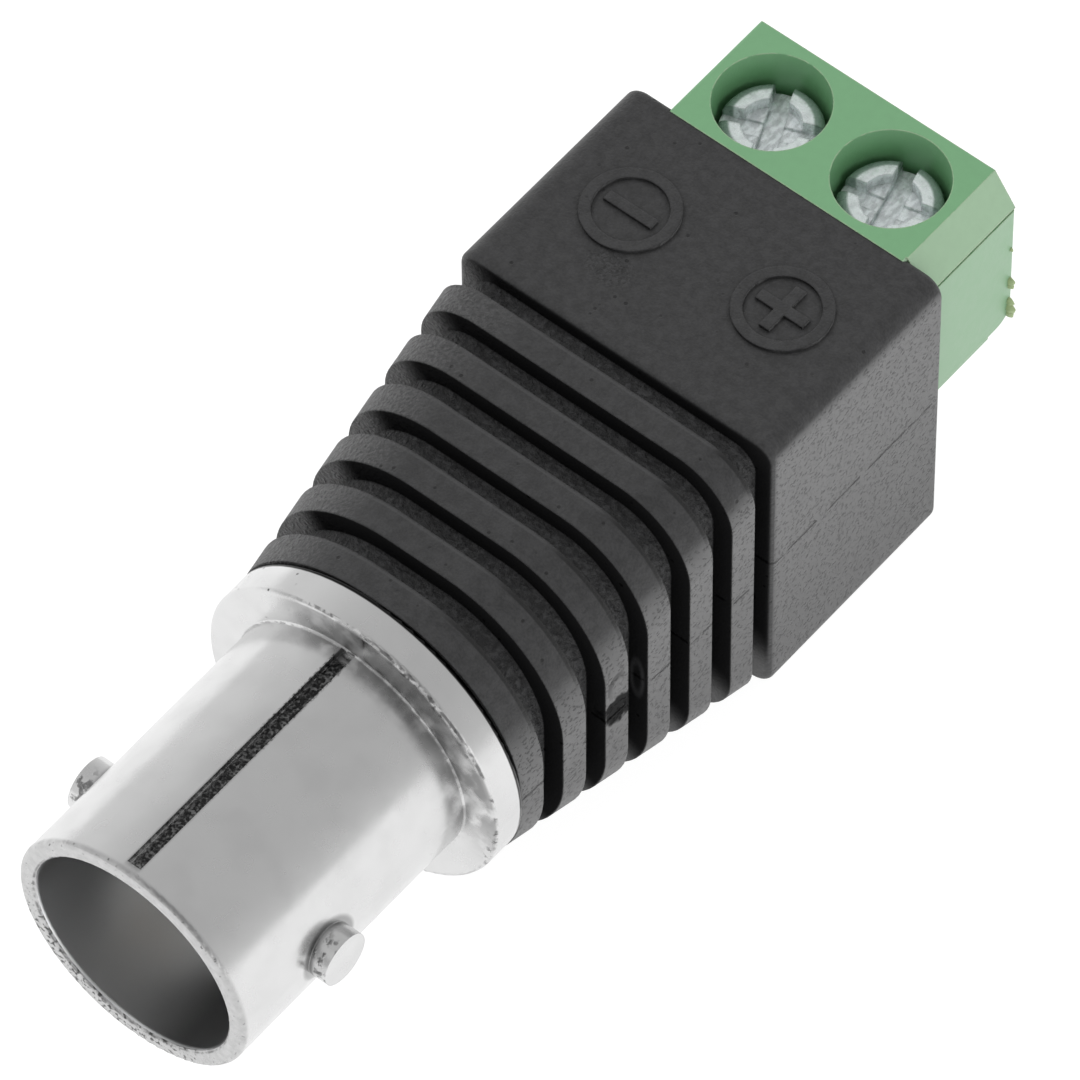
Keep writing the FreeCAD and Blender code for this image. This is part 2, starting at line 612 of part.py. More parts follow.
def make_cage(pole, across):
    """Rising clamp: a rectangular tube round the blade, threaded on top and toothed inside."""
    body = new_body(f"cage_{pole}")
    outline = new_sketch(body, "XZ_Plane", f"-{CAGE_FRONT}")
    rounded_rectangle(outline, f"-{CAGE_HALF}", CAGE_HALF, CAGE_BOTTOM, CAGE_TOP, "Dim.cage_round")
    inside = f"({CAGE_HALF} - Dim.cage_side)"
    ceiling = f"({CAGE_TOP} - Dim.cage_top_wall)"
    polygon(outline, (
        (f"-{inside}", CAGE_FLOOR),
        (inside, CAGE_FLOOR),
        (inside, ceiling),
        (f"-{inside}", ceiling),
    ))
    pad(body, outline, "Dim.cage_depth")
    hole = new_sketch(body, "XY_Plane", CAGE_TOP)
    circle(hole, "(Dim.thread_diameter / 2 + Dim.thread_clearance)", "0", SCREW_Y)
    pocket(body, hole, "Dim.cage_top_wall")

    tooth = new_sketch(body, "YZ_Plane", f"-{inside}")
    pitch = "Dim.cage_depth / (Dim.tooth_count + 1)"
    root = f"({CAGE_FLOOR} - Dim.tooth_height)"
    polygon(tooth, (
        (f"{CAGE_REAR} + {pitch} - Dim.tooth_width / 2", CAGE_FLOOR),
        (f"{CAGE_REAR} + {pitch} - Dim.tooth_width / 2", root),
        (f"{CAGE_REAR} + {pitch} + Dim.tooth_width / 2", root),
        (f"{CAGE_REAR} + {pitch} + Dim.tooth_width / 2", CAGE_FLOOR),
        (f"{CAGE_REAR} + {pitch}", f"{CAGE_FLOOR} + Dim.tooth_height"),
    ))
    first = pad(body, tooth, f"2 * {inside}")
    row = body.newObject("PartDesign::LinearPattern", f"{body.Name}_teeth")
    row.Originals = [first]
    row.Direction = (tooth, ["H_Axis"])
    row.setExpression("Length", f"{pitch} * (Dim.tooth_count - 1)")
    row.setExpression("Occurrences", "Dim.tooth_count")
    body.Tip = row
    doc.recompute()
    place(body, across)
    return node(body, f"clamp_cage_{pole}")


def make_screw(pole, across, angle):
    """Clamp screw with a rounded head, and a recess of slot, cross and round middle."""
    head, thread = "Dim.head_diameter / 2", "Dim.thread_diameter / 2"
    tip = f"({BLADE_TOP} + Dim.tip_gap)"
    body = new_body(f"screw_{pole}")
    outline = new_sketch(body, "XZ_Plane")
    polygon(outline, (
        ("0", tip),
        (f"{thread} - Dim.tip_chamfer", tip),
        (thread, f"{tip} + Dim.tip_chamfer"),
        (thread, HEAD_BOTTOM),
        (head, HEAD_BOTTOM),
        (head, HEAD_TOP),
        ("0", HEAD_TOP),
    ))
    turn(body, outline)
    crown = value(HEAD_TOP)
    rounded(body, "Dim.head_edge", lambda edge: abs(edge.BoundBox.ZMin - crown) < 1e-4)
    slot = new_sketch(body, "XY_Plane", HEAD_TOP)
    half = "Dim.slot_width / 2"
    polygon(slot, ((f"-{head}", f"-{half}"), (head, f"-{half}"), (head, half), (f"-{head}", half)))
    pocket(body, slot, "Dim.slot_depth")
    cross = new_sketch(body, "XY_Plane", HEAD_TOP)
    arm = "Dim.cross_width / 2"
    polygon(cross, ((f"-{arm}", f"-{head}"), (arm, f"-{head}"), (arm, head), (f"-{arm}", head)))
    pocket(body, cross, "Dim.cross_depth")
    middle = new_sketch(body, "XY_Plane", HEAD_TOP)
    circle(middle, "Dim.recess_diameter / 2")
    pocket(body, middle, "Dim.recess_depth")
    body.Placement = Placement(Vector(), Rotation(Vector(0, 0, 1), value(angle)))
    body.setExpression("Placement.Rotation.Angle", angle)
    place(body, across, SCREW_Y)
    return node(body, f"clamp_screw_{pole}")


def pole_cavities(pole, across):
    """Room in the block for a cage, the round shaft above it and the wire entry."""
    reach = f"({CAGE_HALF} + Dim.cage_clearance)"
    room = box(
        f"room_{pole}",
        (f"({across} - {reach})", f"({across} + {reach})"),
        (f"({CAGE_REAR} - Dim.cage_clearance)", f"({CAGE_FRONT} + Dim.cage_clearance)"),
        (POCKET_BOTTOM, HEAD_BOTTOM),
    )
    opening = f"({BLOCK_TOP} + Dim.tool_margin)"
    shaft = upright_rod(f"shaft_{pole}", "Dim.shaft_diameter / 2", HEAD_BOTTOM, opening, across, SCREW_Y)
    entry = new_body(f"entry_{pole}")
    outline = new_sketch(entry, "XZ_Plane", f"-({BLOCK_END} + Dim.tool_margin)")
    half = "Dim.entry_width / 2"
    rounded_rectangle(outline, f"-{half}", half, CAGE_FLOOR, f"{CAGE_FLOOR} + Dim.entry_height",
                      "Dim.entry_round")
    pad(entry, outline, f"{BLOCK_END} + Dim.tool_margin - {SCREW_Y}")
    place(entry, across)
    return [room, shaft, entry]


# The wiring inside the neck.
LEAD_END = PIN_FRONT


def make_bent_rod(name, radius, start, ends):
    """Round rod with an S bend between two straight ends, from a point of the jack to a blade's pin."""
    across, up, pole_x = ends
    sideways = f"({pole_x} - {across})"
    downwards = f"({LEAD_END_Z} - {up})"
    drop = f"sqrt(pow({sideways}; 2) + pow({downwards}; 2))"
    near, far = f"({TAIL_END} + Dim.lead_straight)", f"({LEAD_END} - Dim.lead_straight)"
    finish = f"({LEAD_END} - ({start} - {TAIL_END}))"
    body = new_body(name)
    path = new_sketch(body, "YZ_Plane")
    y_start, y_near, y_far, y_end, rise = [value(item) for item in (start, near, far, finish, drop)]
    run = y_far - y_near
    bend = (run ** 2 + rise ** 2) / (4 * rise)
    sweep = 2 * math.atan2(rise, run)
    normal = Vector(0, 0, 1)
    lower = Part.Circle(Vector(y_near, bend, 0), normal, bend)
    upper = Part.Circle(Vector(y_far, rise - bend, 0), normal, bend)
    quarter = math.pi / 2
    path.addGeometry(Part.LineSegment(Vector(y_start, 0, 0), Vector(y_near, 0, 0)))
    path.addGeometry(Part.ArcOfCircle(lower, -quarter, sweep - quarter))
    path.addGeometry(Part.ArcOfCircle(upper, quarter, sweep + quarter))
    path.addGeometry(Part.LineSegment(Vector(y_far, rise, 0), Vector(y_end, rise, 0)))
    for kind, places in (
        ("Tangent", (0, 2, 1, 1)),
        ("Tangent", (1, 2, 2, 2)),
        ("Tangent", (2, 1, 3, 1)),
        ("Horizontal", (0,)),
        ("Horizontal", (3,)),
        ("Equal", (1, 2)),
    ):
        path.addConstraint(Sketcher.Constraint(kind, *places))
    dimension(path, "DistanceX", (-1, 1, 0, 1), start)
    dimension(path, "DistanceY", (-1, 1, 0, 1), "0")
    dimension(path, "DistanceX", (-1, 1, 0, 2), near)
    dimension(path, "DistanceX", (-1, 1, 3, 1), far)
    dimension(path, "DistanceX", (-1, 1, 3, 2), finish)
    dimension(path, "DistanceY", (-1, 1, 3, 2), drop)
    section = new_sketch(body, "XZ_Plane", f"-{start}")
    circle(section, radius)
    doc.recompute()
    feature = start_feature(body, "PartDesign::AdditivePipe", "swept", section)
    feature.Spine = (path, ["Edge1", "Edge2", "Edge3", "Edge4"])
    doc.recompute()
    turned_by = f"atan2({sideways}; {downwards})"
    body.Placement = Placement(Vector(), Rotation(Vector(0, 1, 0), value(turned_by)))
    body.setExpression("Placement.Rotation.Angle", turned_by)
    place(body, across, "0", up)
    return body


def solder(name, label, centre, metal):
    """Bead of solder round two pieces that meet."""
    bead = doc.addObject("Part::Ellipsoid", f"{name}_bead")
    bead.setExpression("Radius1", "Dim.solder_round")
    bead.setExpression("Radius2", "Dim.solder_round")
    bead.setExpression("Radius3", "Dim.solder_reach")
    place(bead, *centre)
    return node(cut(name, bead, fuse(f"{name}_metal", metal)), label)


def make_lead(name, ends, tail, blade):
    """Conductor, its insulation and the two solder joints at its ends."""
    first_joint, last_joint = {"signal": ("centre", "plus"), "ground": ("ground", "minus")}[name]
    wire = node(make_bent_rod(f"{name}_wire", "Dim.wire_diameter / 2", TAIL_END, ends), f"{name}_lead")
    stripped = f"({TAIL_END} + Dim.bare_length)"
    cover = make_bent_rod(f"{name}_cover", "Dim.sleeve_diameter / 2", stripped, ends)
    node(cut(f"{name}_tube", cover, wire), f"{name}_sleeve")
    across, up, pole_x = ends
    joint_y = f"({LEAD_END} - Dim.solder_lead)"
    beads = [
        solder(f"{name}_first", f"solder_{first_joint}", (across, TAIL_END, up), [tail, wire]),
        solder(f"{name}_last", f"solder_{last_joint}", (pole_x, joint_y, LEAD_END_Z), [wire, blade]),
    ]
    return [wire, cover] + beads


# The black moulding.


def neck_form(name, inset):
    """Neck that runs from a near round section to a rounded square one."""
    body = new_body(name)
    sections = []
    for end, along, shift in (("front", NECK_START, "0"), ("rear", HOUSING_START, "Dim.housing_shift")):
        sketch = new_sketch(body, "XZ_Plane", f"-{along}")
        half, top = f"(Dim.{end}_half_width - {inset})", f"(Dim.{end}_top - {inset})"
        bottom, corner = f"(Dim.{end}_bottom - {inset})", f"(Dim.{end}_corner - {inset})"
        rounded_rectangle(sketch, f"{shift} - {half}", f"{shift} + {half}", f"-{bottom}", top, corner)
        sections.append(sketch)
    doc.recompute()
    loft = start_feature(body, "PartDesign::AdditiveLoft", "loft", sections[0])
    loft.Sections = sections[1:]
    doc.recompute()
    return body


def make_neck():
    """Ribbed neck: grooves of even depth cut round the tapering form."""
    pitch = "(Dim.neck_length / Dim.rib_count)"
    across = ("-Dim.slab_reach", "Dim.slab_reach")
    slabs = []
    for rib in range(round(value("Dim.rib_count"))):
        start = f"({NECK_START} + {pitch} * ({rib} + Dim.rib_share))"
        end = f"({NECK_START} + {pitch} * {rib + 1})"
        slabs.append(box(f"slab_{rib + 1}", across, (start, end), across))
    grooves = cut("neck_grooves", fuse("neck_slabs", slabs), neck_form("neck_core", "Dim.groove_depth"))
    return cut("neck_ribbed", neck_form("neck_outside", "0"), grooves)


def make_square_end():
    """Square end with rounded edges, which the terminal block sits in."""
    body = new_body("square_end")
    outline = new_sketch(body, "XZ_Plane", f"-{HOUSING_END}")
    left, right = [f"(Dim.housing_shift {side} Dim.housing_width / 2)" for side in "-+"]
    rounded_rectangle(outline, left, right, HOUSING_BOTTOM, "Dim.housing_top", "Dim.housing_corner")
    pad(body, outline, "Dim.housing_length")
    rims = (value(HOUSING_START), value(HOUSING_END))
    rounded(body, "Dim.housing_edge", lambda edge: any(lies_across(edge, along) for along in rims))
    return body


def make_marks():
    """Raised rings with a minus and a plus on the top of the square end."""
    bottom, top = "(Dim.housing_top - Dim.mark_root)", "(Dim.housing_top + Dim.mark_height)"
    along = f"({HOUSING_END} - Dim.mark_setback)"
    half, bar = "Dim.mark_stroke / 2", "Dim.mark_bar / 2"
    shapes = []
    for pole, side in (("minus", "-"), ("plus", "+")):
        across = f"(Dim.housing_shift {side} Dim.mark_spacing / 2)"
        outside = upright_rod(f"ring_{pole}", "Dim.mark_diameter / 2", bottom, top, across, along)
        inside = upright_rod(f"eye_{pole}", "Dim.mark_diameter / 2 - Dim.mark_stroke", bottom, top,
                             across, along)
        shapes.append(cut(f"circle_{pole}", outside, inside))
        shapes.append(box(
            f"stroke_{pole}",
            (f"({across} - {bar})", f"({across} + {bar})"),
            (f"({along} - {half})", f"({along} + {half})"),
            (bottom, top),
        ))
        if pole == "plus":
            shapes.append(box(
                "stroke_plus_along",
                (f"({across} - {half})", f"({across} + {half})"),
                (f"({along} - {bar})", f"({along} + {bar})"),
                (bottom, top),
            ))
    return shapes


def make_overmould(enclosed):
    """Black moulding round everything that it encloses."""
    form = fuse("moulding_form", [make_neck(), make_square_end()] + make_marks())
    return node(cut("moulding", form, fuse("moulding_core", enclosed)), "body_overmould")


ground_pin = make_ground_pin()
shell = make_shell(ground_pin)
insulator = make_insulator()
contact = make_centre_contact()
block_form = make_block_form()
blades = {}
cavities = []
for pole, facts in POLES.items():
    blades[pole] = make_blade(pole, facts["x"])
    make_cage(pole, facts["x"])
    make_screw(pole, facts["x"], facts["turn"])
    cavities += pole_cavities(pole, facts["x"])
terminal_housing = cut("block", block_form, fuse("block_cavities", cavities + list(blades.values())))
node(terminal_housing, "terminal_housing")
wiring = make_lead("signal", ("0", "0", POLES["plus"]["x"]), contact, blades["plus"])
wiring += make_lead("ground", (PIN_X, PIN_Z, POLES["minus"]["x"]), ground_pin, blades["minus"])
make_overmould([shell, insulator, contact, ground_pin, block_form, *blades.values(), *wiring])
doc.recompute()

for item in doc.Objects:
    if {"Invalid", "Error"} & set(item.State):
        raise RuntimeError(f"{item.Label} failed: {item.State}")
os.makedirs("parts", exist_ok=True)
for item in nodes:
    if item.Shape.isNull() or not item.Shape.isValid():
        raise RuntimeError(f"{item.Label} has no valid shape")
    item.Shape.exportStep(f"parts/{item.Label}.step")
    print(item.Label, len(item.Shape.Solids), round(item.Shape.Volume, 3))
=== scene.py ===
import math

import bmesh
import bpy
from bpy.props import FloatProperty, FloatVectorProperty, PointerProperty
from mathutils import Matrix, Vector, noise


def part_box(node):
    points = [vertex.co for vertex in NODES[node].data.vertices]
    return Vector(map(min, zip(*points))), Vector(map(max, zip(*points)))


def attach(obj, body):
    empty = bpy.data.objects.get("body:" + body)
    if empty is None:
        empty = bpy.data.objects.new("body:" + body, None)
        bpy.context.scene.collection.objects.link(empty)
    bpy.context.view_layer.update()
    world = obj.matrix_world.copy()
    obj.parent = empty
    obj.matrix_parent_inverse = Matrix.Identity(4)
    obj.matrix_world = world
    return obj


bl_info = {
    "name": "Terminal Adapter Finishes",
    "version": (1, 0, 0),
    "blender": (4, 5, 0),
    "location": "3D View > Sidebar > Adapter",
    "description": "Plating, moulded plastics, screws and wiring of the coaxial terminal adapter",
    "category": "Object",
}

# Lengths are in metres and angles in radians. The row frame is the adapter's own: origin at the
# centre of the jack's mouth, +X to the plus pole, +Y to the terminals, +Z up.
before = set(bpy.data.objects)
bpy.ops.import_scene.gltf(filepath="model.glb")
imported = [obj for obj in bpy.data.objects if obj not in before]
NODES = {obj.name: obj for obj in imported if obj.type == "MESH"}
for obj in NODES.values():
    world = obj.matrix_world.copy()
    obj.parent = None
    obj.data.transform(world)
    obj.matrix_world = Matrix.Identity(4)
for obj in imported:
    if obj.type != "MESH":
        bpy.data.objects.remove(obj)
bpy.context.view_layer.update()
MM = 0.001
POLES = ("minus", "plus")


def node_end(node, axis, side):
    """Coordinate of a node's lowest (side 0) or highest (side 1) corner along one axis."""
    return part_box(node)[side]["XYZ".index(axis)]


NECK_START = node_end("body_overmould", "Y", 0)
BODY_UNDERSIDE = node_end("body_overmould", "Z", 0)
BLOCK_REAR = node_end("terminal_housing", "Y", 1)
BLOCK_SIDE = node_end("terminal_housing", "X", 1)
SCREW_TOP = node_end("clamp_screw_minus", "Z", 1)
SCREW_PLACE = (node_end("clamp_screw_minus", "Y", 0) + node_end("clamp_screw_minus", "Y", 1)) / 2
SCREW_MIDDLE = (node_end("clamp_screw_minus", "X", 0) + node_end("clamp_screw_plus", "X", 1)) / 2
SCREW_SPREAD = (node_end("clamp_screw_plus", "X", 0) - node_end("clamp_screw_minus", "X", 0)) / 2
FLOOR_GAP = 0.2 * MM

# Directions round the jack's axis, as angles from +X towards +Z.
LOWER_RIGHT = math.radians(-12)
UPPER_RIGHT = math.radians(50)
UPPER_LEFT = math.radians(135)
LEFT = math.pi
BORE_SIDE = math.radians(230)
WORN_SIDE = math.radians(248)
BELOW = -math.pi / 2

# Heights above the jack's axis in millimetres, and sizes as shares of the stubs' radius.
GATE_STUBS = ((1.15, 0.8), (0.9, 0.7), (0.0, 0.8), (-0.35, 1.0), (-0.65, 0.8), (2.9, 0.4))

# Ribs on the moulding's neck, in front of the square end.
NECK_RIBS = 6.0


def grey(level):
    """Neutral colour."""
    return (level, level, level)


# Near-black: painted shade where the flange meets the moulding, and the seam's own dark floor.
SHADE_AND_SEAM_BLACK = grey(0.015)


def length(name, description, default):
    return FloatProperty(name=name, description=description, default=default, unit="LENGTH", precision=6)


def colour(name, description, default):
    return FloatVectorProperty(
        name=name, description=description, default=default, subtype="COLOR", min=0.0, max=1.0
    )


def share(name, description, default):
    return FloatProperty(name=name, description=description, default=default, subtype="FACTOR", min=0.0, max=1.0)


class PlatingSettings(bpy.types.PropertyGroup):
    """Plated die-casting of the jack."""

    nickel: colour("Nickel", "Colour of the plated surface", (0.70, 0.70, 0.70))
    bare: colour("Bare casting", "Colour inside the barrel", (0.555, 0.558, 0.562))
    pit: colour("Pits", "Colour of pits and chips", grey(0.08))
    roughness: share("Roughness", "Roughness of the plating", 0.23)
    bore_radius: length("Bore radius", "Radius inside which the plating is thin", 4.10 * MM)
    barrel_radius: length("Barrel radius", "Outside radius of the barrel", 4.8 * MM)
    lug_place: length("Lug place", "Mouth to the middle of the lugs", 4.27 * MM)
    lug_shade_reach: length("Lug ring", "Radius of the ring of painted shade round each lug", 1.35 * MM)
    flange_start: length("Flange start", "Mouth to the front of the flange", 11.18 * MM)
    flange_radius: length("Flange radius", "Outside radius of the flange", 6.16 * MM)
    seam_width: length("Seam width", "Width of the rough seam at its end by the flange", 0.50 * MM)
    seam_setback: length("Seam setback", "Rim left whole in front of the seam", 0.42 * MM)
    seam_gap: length("Seam gap", "Whole plating between the seam and the flange", 0.3 * MM)
    seam_fray: length("Seam fray", "How far the seam's sides are frayed", 0.34 * MM)
    pit_size: length("Pit size", "Size of the pits along the rims", 0.16 * MM)
    chip_size: length("Chip size", "Size of the chips on the flange's front edge", 0.3 * MM)
    reflection_smudge_size: length("Reflection smudge size", "Size of the smudges of painted reflection in front of the flange", 0.9 * MM)


class MouldingSettings(bpy.types.PropertyGroup):
    """Black moulding of neck and square end."""

    black: colour("Black", "Colour of the moulding", (0.031, 0.031, 0.032))
    side: colour("Side", "Colour of the eroded sides, paler with painted light", (0.105, 0.105, 0.106))
    roughness: share("Roughness", "Roughness of the moulding", 0.5)
    grain: length("Grain", "Size of the fine grain on the top", 0.09 * MM)
    pore: length("Pores", "Distance between the pores of the sides", 0.2 * MM)
    rib_pitch: length("Rib pitch", "Distance from rib to rib on the neck", 2.085 * MM)
    rib_share: share("Rib share", "Part of each pitch that is rib", 0.53)
    parting_height: length("Parting height", "Height of the mould's parting line", 0.12 * MM)
    groove_grain: length("Groove grain", "Size of the rough grain in the grooves", 0.24 * MM)
    end_grain: length("End grain", "Size of the fuzzy grain on the ribs' left ends", 0.14 * MM)
    flaw: FloatVectorProperty(
        name="Flaw", description="Middle of the torn spot in the third rib", unit="LENGTH",
        default=(6.25 * MM, 17.45 * MM, 0.25 * MM),
    )
    cavity: FloatVectorProperty(
        name="Cavity", description="Middle of the small shrink hole behind the torn spot", unit="LENGTH",
        default=(5.83 * MM, 18.85 * MM, 0.02 * MM),
    )
    scuff: FloatVectorProperty(
        name="Scuff", description="Middle of the scuffs in front of the minus mark", unit="LENGTH",
        default=(-2.48 * MM, 27.65 * MM, 6.35 * MM),
    )


class BlockSettings(bpy.types.PropertyGroup):
    """Green terminal block."""

    green: colour("Green", "Colour of the block", (0.197, 0.445, 0.220))
    side: colour("Side", "Colour of the block's sides, paler with painted light", (0.250, 0.430, 0.262))
    shoulder: colour("Shoulder", "Colour of the sloping shoulder, lighter with painted light", (0.345, 0.525, 0.340))
    worn: colour("Worn edges", "Colour of the block's sharp edges", (0.55, 0.66, 0.46))
    stub: colour("Stubs", "Colour of the torn gate's stubs", (0.40, 0.50, 0.26))
    roughness: share("Roughness", "Roughness of the block", 0.38)
    grain: length("Grain", "Size of the faint mottling", 0.35 * MM)
    stub_radius: length("Gate stubs", "Size of the trimmed gate's stubs on the far edge", 0.24 * MM)


class ClampSettings(bpy.types.PropertyGroup):
    """Screws, cages and blades."""

    zinc: colour("Zinc", "Colour of the bright screws and cages", (0.93, 0.97, 1.0))
    rim: colour("Rim", "Painted reflection of the shaft on the screw head's rounded rim", (0.16, 0.25, 0.20))
    head_radius: length("Head radius", "Radius of the screw head", 1.83 * MM)
    tin: colour("Tin", "Colour of the blades and pins", (0.72, 0.72, 0.70))
    roughness: share("Roughness", "Roughness of the plated steel", 0.2)
    dent: length("Dents", "Size of the dents in the stamped recess", 0.4 * MM)


class WiringSettings(bpy.types.PropertyGroup):
    """Contact, leads and solder inside the adapter."""

    copper: colour("Copper", "Colour of the bare conductors", (0.78, 0.36, 0.20))
    gilt: colour("Gilt", "Colour of the centre contact", (0.83, 0.60, 0.27))
    dielectric: colour("Insulator", "Colour of the jack's insulator", (0.78, 0.78, 0.77))
    signal: colour("Signal sleeve", "Colour of the signal lead's insulation", (0.42, 0.02, 0.02))
    ground: colour("Ground sleeve", "Colour of the ground lead's insulation", grey(0.12))
    solder: colour("Solder", "Colour of the soldered joints", (0.62, 0.62, 0.63))


class StageSettings(bpy.types.PropertyGroup):
    """Floor, light and camera."""

    azimuth: FloatProperty(
        name="Azimuth", description="Camera's turn round the part", default=math.radians(39.76), subtype="ANGLE"
    )
    elevation: FloatProperty(
        name="Elevation", description="Camera's height as an angle", default=math.radians(54.77), subtype="ANGLE"
    )
    roll: FloatProperty(
        name="Roll", description="Camera's turn about its view", default=math.radians(-0.5), subtype="ANGLE"
    )
    distance: length("Distance", "Camera to the aimed point", 389.5 * MM)
    aim: FloatVectorProperty(
        name="Aim", description="Point that the camera looks at", unit="LENGTH",
        default=(0.38 * MM, 20.47 * MM, 1.20 * MM),
    )
    focal: FloatProperty(name="Focal length", description="Camera's lens, in millimetres", default=392.66)
    floor_size: length("Floor", "Side of the square floor", 1.6)
    floor_tone: colour("Floor tone", "Colour of the floor", grey(0.25))
    floor_glow: FloatProperty(name="Floor glow", description="Brightness of the floor", default=0.92)
    sides: FloatProperty(name="Side light", description="Brightness of the tent's walls", default=1.0)
    ceiling: FloatProperty(name="Ceiling", description="Brightness of the tent's ceiling", default=0.70)
    dim: FloatVectorProperty(
        name="Dim side", description="Direction of the ceiling's middle", subtype="DIRECTION",
        default=(0.35, 0.20, 0.91),
    )
    opening: FloatProperty(
        name="Opening", description="Brightness of the tent's opening at the front", default=0.42
    )
    opening_side: FloatVectorProperty(
        name="Opening side", description="Direction of that opening", subtype="DIRECTION",
        default=(0.45, -0.50, 0.74),
    )
    top_power: FloatProperty(name="Top lamp", description="Power of the soft lamp above, in watts", default=0.8)
    top_place: FloatVectorProperty(
        name="Top lamp's place", description="Middle of that lamp", default=(-0.22, 0.05, 0.5), unit="LENGTH"
    )
    side_power: FloatProperty(
        name="Side lamp", description="Power of the soft lamp on the plus side, in watts", default=1.0
    )
    side_place: FloatVectorProperty(
        name="Side lamp's place", description="Middle of that lamp", default=(0.5, -0.05, 0.12), unit="LENGTH"
    )
    lamp_size: length("Lamp size", "Side of the soft lamps", 0.5)


class AdapterSettings(bpy.types.PropertyGroup):
    """All of the adapter's settings."""

    plating: PointerProperty(type=PlatingSettings, name="Plating")
    moulding: PointerProperty(type=MouldingSettings, name="Moulding")
    block: PointerProperty(type=BlockSettings, name="Block")
    clamps: PointerProperty(type=ClampSettings, name="Clamps")
    wiring: PointerProperty(type=WiringSettings, name="Wiring")
    stage: PointerProperty(type=StageSettings, name="Stage")


class Finish:
    """One material, its shader and the nodes that feed it. Patterns lie in the row frame."""

    # Rays that the rounded edges and the inner corners are found with.
    RAYS = 4

    def __init__(self, name, roughness, metallic=0.0):
        self.material = bpy.data.materials.new(name)
        self.material.use_nodes = True
        self.nodes = self.material.node_tree.nodes
        self.links = self.material.node_tree.links
        self.nodes.clear()
        self.shader = self.nodes.new("ShaderNodeBsdfPrincipled")
        output = self.nodes.new("ShaderNodeOutputMaterial")
        self.links.new(self.shader.outputs["BSDF"], output.inputs["Surface"])
        self.shader.inputs["Roughness"].default_value = roughness
        self.shader.inputs["Metallic"].default_value = metallic
        coordinates = self.nodes.new("ShaderNodeTexCoord")
        self.position = coordinates.outputs["Object"]
        self.normal = coordinates.outputs["Normal"]
        self.x, self.y, self.z = self.axes(self.position)
        self.facing_x, self.facing_y = self.axes(self.normal)[:2]

    def feed(self, socket, value):
        """Links a node's output to a socket, or sets a plain number or colour on it."""
        if isinstance(value, bpy.types.NodeSocket):
            self.links.new(value, socket)
        else:
            socket.default_value = value

    def axes(self, vector):
        """The three parts of a vector."""
        split = self.nodes.new("ShaderNodeSeparateXYZ")
        self.feed(split.inputs[0], vector)
        return split.outputs

    def maths(self, operation, first, second=0.0):
        """Result of one sum."""
        node = self.nodes.new("ShaderNodeMath")
        node.operation = operation
        self.feed(node.inputs[0], first)
        self.feed(node.inputs[1], second)
        return node.outputs[0]

    def all_of(self, *masks):
        """Product of several masks."""
        product = masks[0]
        for mask in masks[1:]:
            product = self.maths("MULTIPLY", product, mask)
        return product

    def either(self, first, second):
        """The larger of two masks."""
        return self.maths("MAXIMUM", first, second)

    def outside(self, mask):
        """What a mask leaves free."""
        return self.maths("SUBTRACT", 1.0, mask)

    def dot(self, first, second):
        """Dot product of two vectors."""
        node = self.nodes.new("ShaderNodeVectorMath")
        node.operation = "DOT_PRODUCT"
        self.feed(node.inputs[0], first)
        self.feed(node.inputs[1], second)
        return node.outputs["Value"]

    def off(self, value, centre):
        """Distance of a value from a number."""
        return self.maths("ABSOLUTE", self.maths("SUBTRACT", value, centre))

    def blend(self, value, low, high, at_low=0.0, at_high=1.0):
        """Smooth change from one number to another as a value passes between two limits."""
        node = self.nodes.new("ShaderNodeMapRange")
        node.interpolation_type = "SMOOTHSTEP"
        numbers = (value, low, high, at_low, at_high)
        for socket, number in zip(("Value", "From Min", "From Max", "To Min", "To Max"), numbers):
            self.feed(node.inputs[socket], number)
        return node.outputs["Result"]

    def below(self, value, low, high):
        """Mask that fades out as a value rises between two limits."""
        return self.blend(value, low, high, 1.0, 0.0)

    def line(self, value, centre, core, reach):
        """Mask of a line: whole while a value is within the core of a number, gone beyond the reach."""
        return self.below(self.off(value, centre), core, reach)

    def scaled(self, size, stretch):
        """Position in lumps of that size, drawn out along the axes by the stretch."""
        mapping = self.nodes.new("ShaderNodeMapping")
        mapping.inputs["Scale"].default_value = [1 / (size * part) for part in stretch]
        self.feed(mapping.inputs["Vector"], self.position)
        return mapping.outputs["Vector"]

    def cloud(self, size, detail=3.0, stretch=(1.0, 1.0, 1.0)):
        """Noise with lumps of about that size, drawn out along the axes by the stretch."""
        node = self.nodes.new("ShaderNodeTexNoise")
        node.inputs["Scale"].default_value = 1.0
        node.inputs["Detail"].default_value = detail
        self.feed(node.inputs["Vector"], self.scaled(size, stretch))
        return node.outputs["Fac"]

    def patches(self, size, low, high, detail=4.0):
        """Mask of uneven patches of about that size, between two levels of the noise."""
        return self.blend(self.cloud(size, detail), low, high)

    def pores(self, pitch, width, stretch=(1.0, 1.0, 1.0)):
        """Scattered dots, about a pitch apart, with their width as a share of it."""
        node = self.nodes.new("ShaderNodeTexVoronoi")
        node.inputs["Scale"].default_value = 1.0
        self.feed(node.inputs["Vector"], self.scaled(pitch, stretch))
        return self.below(node.outputs["Distance"], width * 0.5, width)

    def near(self, centre, radii):
        """Mask that fades from 1 at a point to 0 at an ellipsoid round it."""
        parts = []
        for value, middle, radius in zip((self.x, self.y, self.z), centre, radii):
            part = self.maths("DIVIDE", self.maths("SUBTRACT", value, middle), radius)
            parts.append(self.maths("MULTIPLY", part, part))
        return self.below(self.maths("ADD", self.maths("ADD", parts[0], parts[1]), parts[2]), 0.1, 1.0)

    def towards(self, angle, low, high):
        """Mask round the jack's axis, 1 at an angle from +X towards +Z."""
        along = self.maths(
            "ADD", self.maths("MULTIPLY", self.x, math.cos(angle)), self.maths("MULTIPLY", self.z, math.sin(angle))
        )
        return self.blend(self.maths("DIVIDE", along, self.radius()), low, high)

